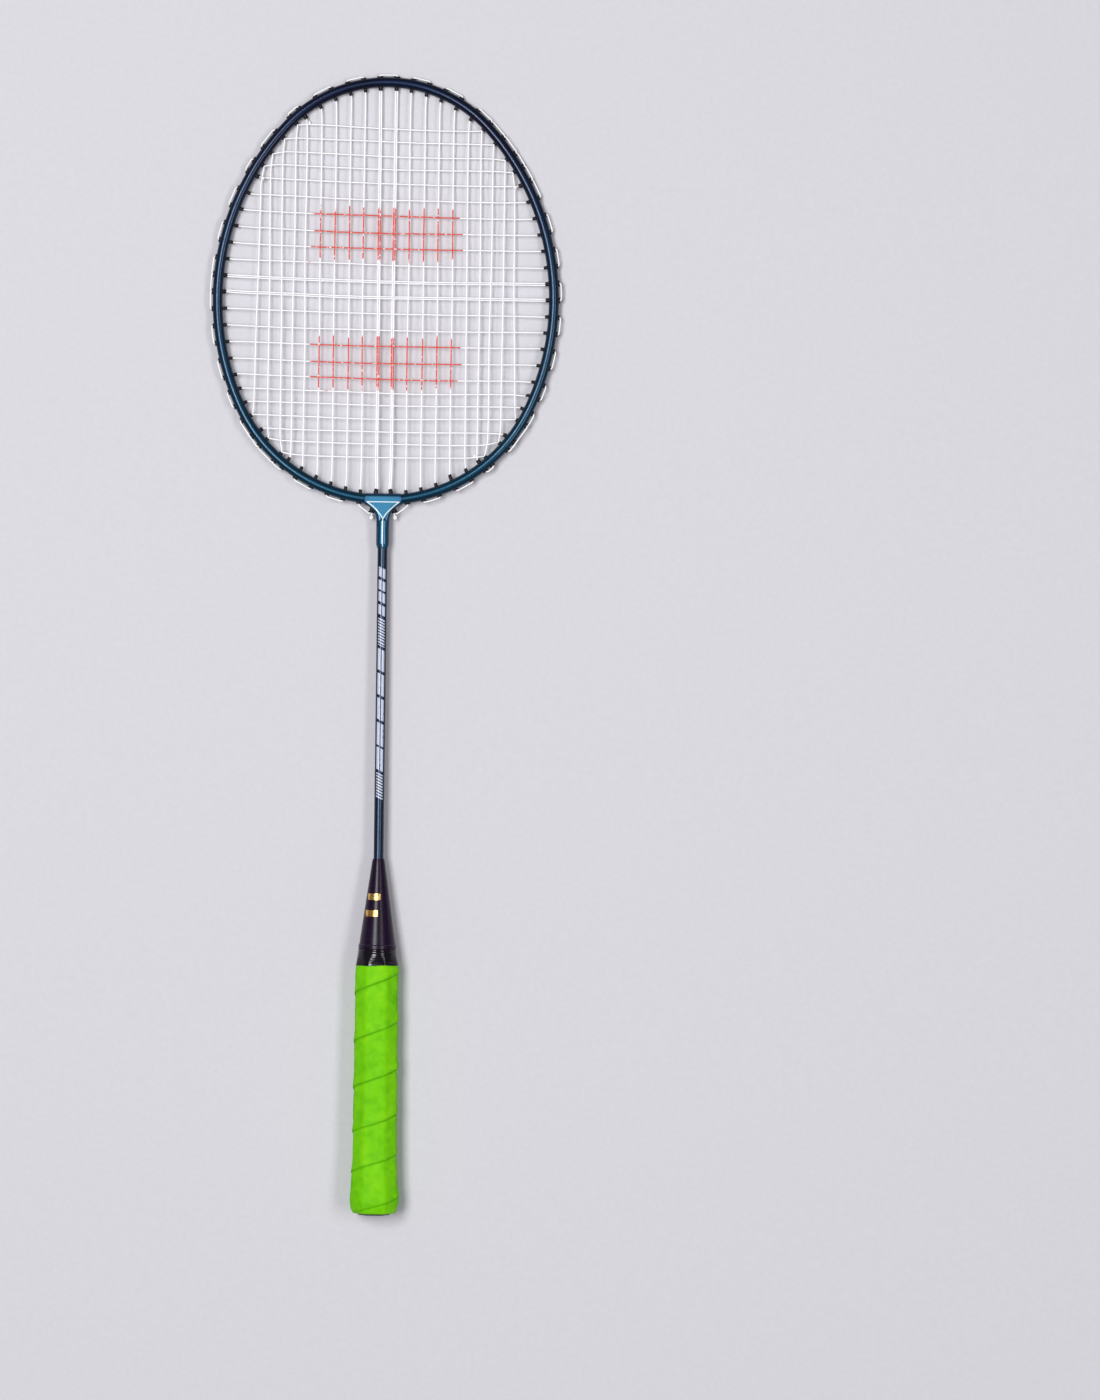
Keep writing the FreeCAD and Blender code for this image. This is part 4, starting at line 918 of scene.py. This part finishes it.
across = addNode(tree, "MapRange", {"Value": slanted, "From Min": rangeLow, "From Max": rangeHigh})
masks = []
for kind in ("solid", "hatched"):
    stops = [(0.0, "#000000")]
    for low, high in sorted(shaftPrint[kind]):
        stops += [((low - rangeLow) / (rangeHigh - rangeLow), "#FFFFFF"),
                  ((high - rangeLow) / (rangeHigh - rangeLow), "#000000")]
    masks.append(addNode(tree, "ValToRGB", [across], stops))
    masks[-1].color_ramp.interpolation = "CONSTANT"
stripe = addNode(tree, "Math", [slanted, shaftPrint["pitch"]], operation="MODULO")
stripe = addNode(tree, "Math", [stripe, shaftPrint["pitch"] * shaftPrint["inked"]], operation="LESS_THAN")
fromMiddle = addNode(tree, "Math", [(parts, 0)], operation="ABSOLUTE")
onFront = addNode(tree, "Math", [fromMiddle, shaftPrint["halfWidth"]], operation="LESS_THAN")
besideSlit = addNode(tree, "Math", [fromMiddle, shaftPrint["slit"]], operation="GREATER_THAN")
facing = addNode(tree, "Math", [(parts, 2), 0.0], operation="GREATER_THAN")
slabs, hatch = allOf(tree, masks[0], besideSlit), allOf(tree, masks[1], stripe)
printed = addNode(tree, "Math", [slabs, hatch], operation="MAXIMUM")
worn = addNode(tree, "TexNoise", {"Vector": inMm, "Scale": 1.1, "Detail": 4.0})
kept = addNode(tree, "MapRange", {"Value": worn, "From Min": 0.3, "From Max": 0.36})
printed = allOf(tree, printed, onFront, facing, kept)
colour = addNode(tree, "MixRGB", [printed, colour, hexColour("#B6BDD0")])
metal = addNode(tree, "MapRange", {"Value": printed, "To Min": 0.75, "To Max": 0.0})
setInputs(tree, shader, {"Base Color": colour, "Metallic": metal})
finish("shaft_tube", shaftPaint)

# Stoved metallic enamel, teal: brighter than the hoop, with thin white lines printed on both faces.
# Painted shade darkens it towards navy at the wings' outer edges, at the crossbar's ends and along its top
# edge
teeLines = {
    "barDrop": 1.9, "barHalf": 9.4, "barWidth": 0.5,
    "meetDrop": 12.2, "endDrop": 28.0, "curve": 1.45, "thin": 0.25, "spread": 0.3,
    "faceHeight": 1.6,            # the lines are printed only this far above and below the middle
}
teal, tree, shader, place = newMaterial("stoved_enamel_tee", {
    "Metallic": 0.6, "Coat Weight": 0.35, "Coat Roughness": 0.08, "Coat IOR": 1.5})
inMm = addNode(tree, "Mapping", {"Vector": place, "Scale": [1 / mm] * 3,
                                 "Location": (0, -head["teeY"] / mm, -axisZ / mm)})
parts = addNode(tree, "SeparateXYZ", [inMm])
drop = addNode(tree, "Math", [(parts, 1), -1.0], operation="MULTIPLY")
side = addNode(tree, "Math", [(parts, 0)], operation="ABSOLUTE")
# crossbar line: |drop - barDrop| < width / 2 and |x| < barHalf
fromBar = addNode(tree, "Math", [drop, teeLines["barDrop"]], operation="SUBTRACT")
fromBar = addNode(tree, "Math", [fromBar], operation="ABSOLUTE")
onBar = addNode(tree, "Math", [fromBar, teeLines["barWidth"] / 2], operation="LESS_THAN")
withinBar = addNode(tree, "Math", [side, teeLines["barHalf"]], operation="LESS_THAN")
lines = allOf(tree, onBar, withinBar)
# curves: x = barHalf (1 - t)^curve, where t runs from the bar down to where they meet
down = addNode(tree, "MapRange", {"Value": drop, "From Min": teeLines["barDrop"],
                                  "From Max": teeLines["meetDrop"], "To Min": 1.0, "To Max": 0.0})
curveX = addNode(tree, "Math", [down, teeLines["curve"]], operation="POWER")
curveX = addNode(tree, "Math", [curveX, teeLines["barHalf"]], operation="MULTIPLY")
outward = addNode(tree, "Math", [side, curveX], operation="SUBTRACT")
fromCurve = addNode(tree, "Math", [outward], operation="ABSOLUTE")
# the steeper the curve runs across, the wider its line has to be across x
spread = addNode(tree, "Math", [down, teeLines["spread"], teeLines["thin"]], operation="MULTIPLY_ADD")
onCurve = addNode(tree, "Math", [fromCurve, spread], operation="LESS_THAN")
belowBar = addNode(tree, "Math", [drop, teeLines["barDrop"]], operation="GREATER_THAN")
aboveEnd = addNode(tree, "Math", [drop, teeLines["endDrop"]], operation="LESS_THAN")
onCurve = allOf(tree, onCurve, belowBar, aboveEnd)
lines = addNode(tree, "Math", [lines, onCurve], operation="MAXIMUM")
flatFace = addNode(tree, "Math", [(parts, 2)], operation="ABSOLUTE")
flatFace = addNode(tree, "Math", [flatFace, teeLines["faceHeight"]], operation="GREATER_THAN")
lines = allOf(tree, lines, flatFace)
# painted shade: darker outside the curves below the bar and towards the crossbar's ends
fromCentre = addNode(tree, "MapRange", {"Value": outward, "From Min": 0.0, "From Max": 4.6})
lowPart = addNode(tree, "MapRange", {"Value": drop, "From Min": 0.8, "From Max": 2.2})
edgeShade = allOf(tree, fromCentre, lowPart)
barEndShade = addNode(tree, "MapRange", {"Value": side, "From Min": 5.0, "From Max": 11.0, "To Max": 0.4})
edgeShade = addNode(tree, "Math", [edgeShade, barEndShade], operation="MAXIMUM")
base = addNode(tree, "ValToRGB", [edgeShade], [(0.0, "#085878"), (0.45, "#07486A"), (1.0, "#04203F")])
# painted shade: a darker band along the crossbar's top edge
topShade = addNode(tree, "MapRange", {"Value": drop, "From Min": -0.3, "From Max": -2.3})
base = addNode(tree, "MixRGB", [topShade, base, hexColour("#063A5A")])
base = flakedPaint(tree, shader, place, base, "#C0C0C0", 4 * mm, 0.24, 0.4)
colour = addNode(tree, "MixRGB", [lines, base, hexColour("#D5E2E6")])
metal = addNode(tree, "MapRange", {"Value": lines, "To Min": 0.6, "To Max": 0.0})
setInputs(tree, shader, {"Base Color": colour, "Metallic": metal})
finish("throat_tee", teal)

# Moulded ABS, black with a purple cast: deep gloss with faint sink waves, and two plain bars of
# hot gold foil
foilBars = [(-2.1, 185.7, 3.6, 1.85), (-3.3, 176.1, 3.6, 1.85)]    # x, along, half width, half height; mm
mouldedAbs, tree, shader, place = newMaterial("moulded_abs_gloss", {
    "IOR": 1.54, "Specular IOR Level": 0.18})
inMm = addNode(tree, "Mapping", {"Vector": place, **fromButt})
parts = addNode(tree, "SeparateXYZ", [inMm])
fray = addNode(tree, "TexNoise", {"Vector": inMm, "Scale": 1.3, "Detail": 3.0})
foil = addNode(tree, "Math", [outsideBars(tree, inMm, foilBars), 0.0], operation="LESS_THAN")
facing = addNode(tree, "Math", [(parts, 2), 0.0], operation="GREATER_THAN")
kept = addNode(tree, "MapRange", {"Value": fray, "From Min": 0.28, "From Max": 0.33})
foil = allOf(tree, foil, facing, kept)
tone = addNode(tree, "ValToRGB", [fray], [(0.35, "#12041A"), (0.7, "#1E0A28")])
gold = addNode(tree, "ValToRGB", [fray], [(0.35, "#C98F38"), (0.65, "#F2CC80")])
colour = addNode(tree, "MixRGB", [foil, tone, gold])
sink = addNode(tree, "TexNoise", {"Vector": inMm, "Scale": 0.16, "Detail": 2.0})
dull = addNode(tree, "MapRange", {"Value": fray, "To Min": 0.24, "To Max": 0.32})
bump = addNode(tree, "Bump", {"Height": sink, "Strength": 0.15, "Distance": 0.15 * mm})
setInputs(tree, shader, {"Base Color": colour, "Roughness": dull, "Metallic": foil, "Normal": bump})
finish("cone_cap", mouldedAbs)

# Beech, sanded: pale, with short darker flecks along the grain
finish("handle_core", grainedMaterial(
    "sanded_beech", {"IOR": 1.5, "Roughness": 0.6}, 1.2 * mm, 4.0, stretch=(1.0, 0.12, 1.0),
    stops=[(0.3, "#B98B58"), (0.55, "#D8B383"), (0.8, "#E2C296")], bump=(0.3, 0.1 * mm)))

# Drawn steel: fine lines round the pin
finish("shaft_pin", grainedMaterial(
    "drawn_steel", {"Metallic": 1.0, "Base Color": hexColour("#B9BABC")}, 0.1 * mm, 3.0,
    stretch=(0.05, 1.0, 1.0), dull=(0.25, 0.45)))

# Moulded polypropylene, black: matt with a spark-eroded grain
finish("butt_cap", grainedMaterial(
    "moulded_polypropylene", {"IOR": 1.49}, 0.4 * mm, 4.0,
    stops=[(0.35, "#121214"), (0.7, "#1F1F22")], dull=(0.42, 0.62), bump=(0.5, 0.05 * mm)))

# Satin foil label, blank and silver grey: brushed in rings about its middle
foilDisc, tree, shader, place = newMaterial("brushed_foil", {"Metallic": 0.85, "Coat Weight": 0.3})
centred = addNode(tree, "Mapping", {"Vector": place, "Location": (0, 0, -axisZ)})
parts = addNode(tree, "SeparateXYZ", [centred])
flat = addNode(tree, "CombineXYZ", {"X": (parts, 0), "Y": (parts, 2)})
distance = addNode(tree, "VectorMath", [flat], operation="LENGTH")
rings = addNode(tree, "TexNoise", {"W": (distance, "Value"), "Scale": 1 / (0.15 * mm)}, noise_dimensions="1D")
tone = addNode(tree, "ValToRGB", [rings], [(0.3, "#84868C"), (0.7, "#A5A7AC")])
dull = addNode(tree, "MapRange", {"Value": rings, "To Min": 0.28, "To Max": 0.45})
setInputs(tree, shader, {"Base Color": tone, "Roughness": dull})
finish("butt_disc", foilDisc)
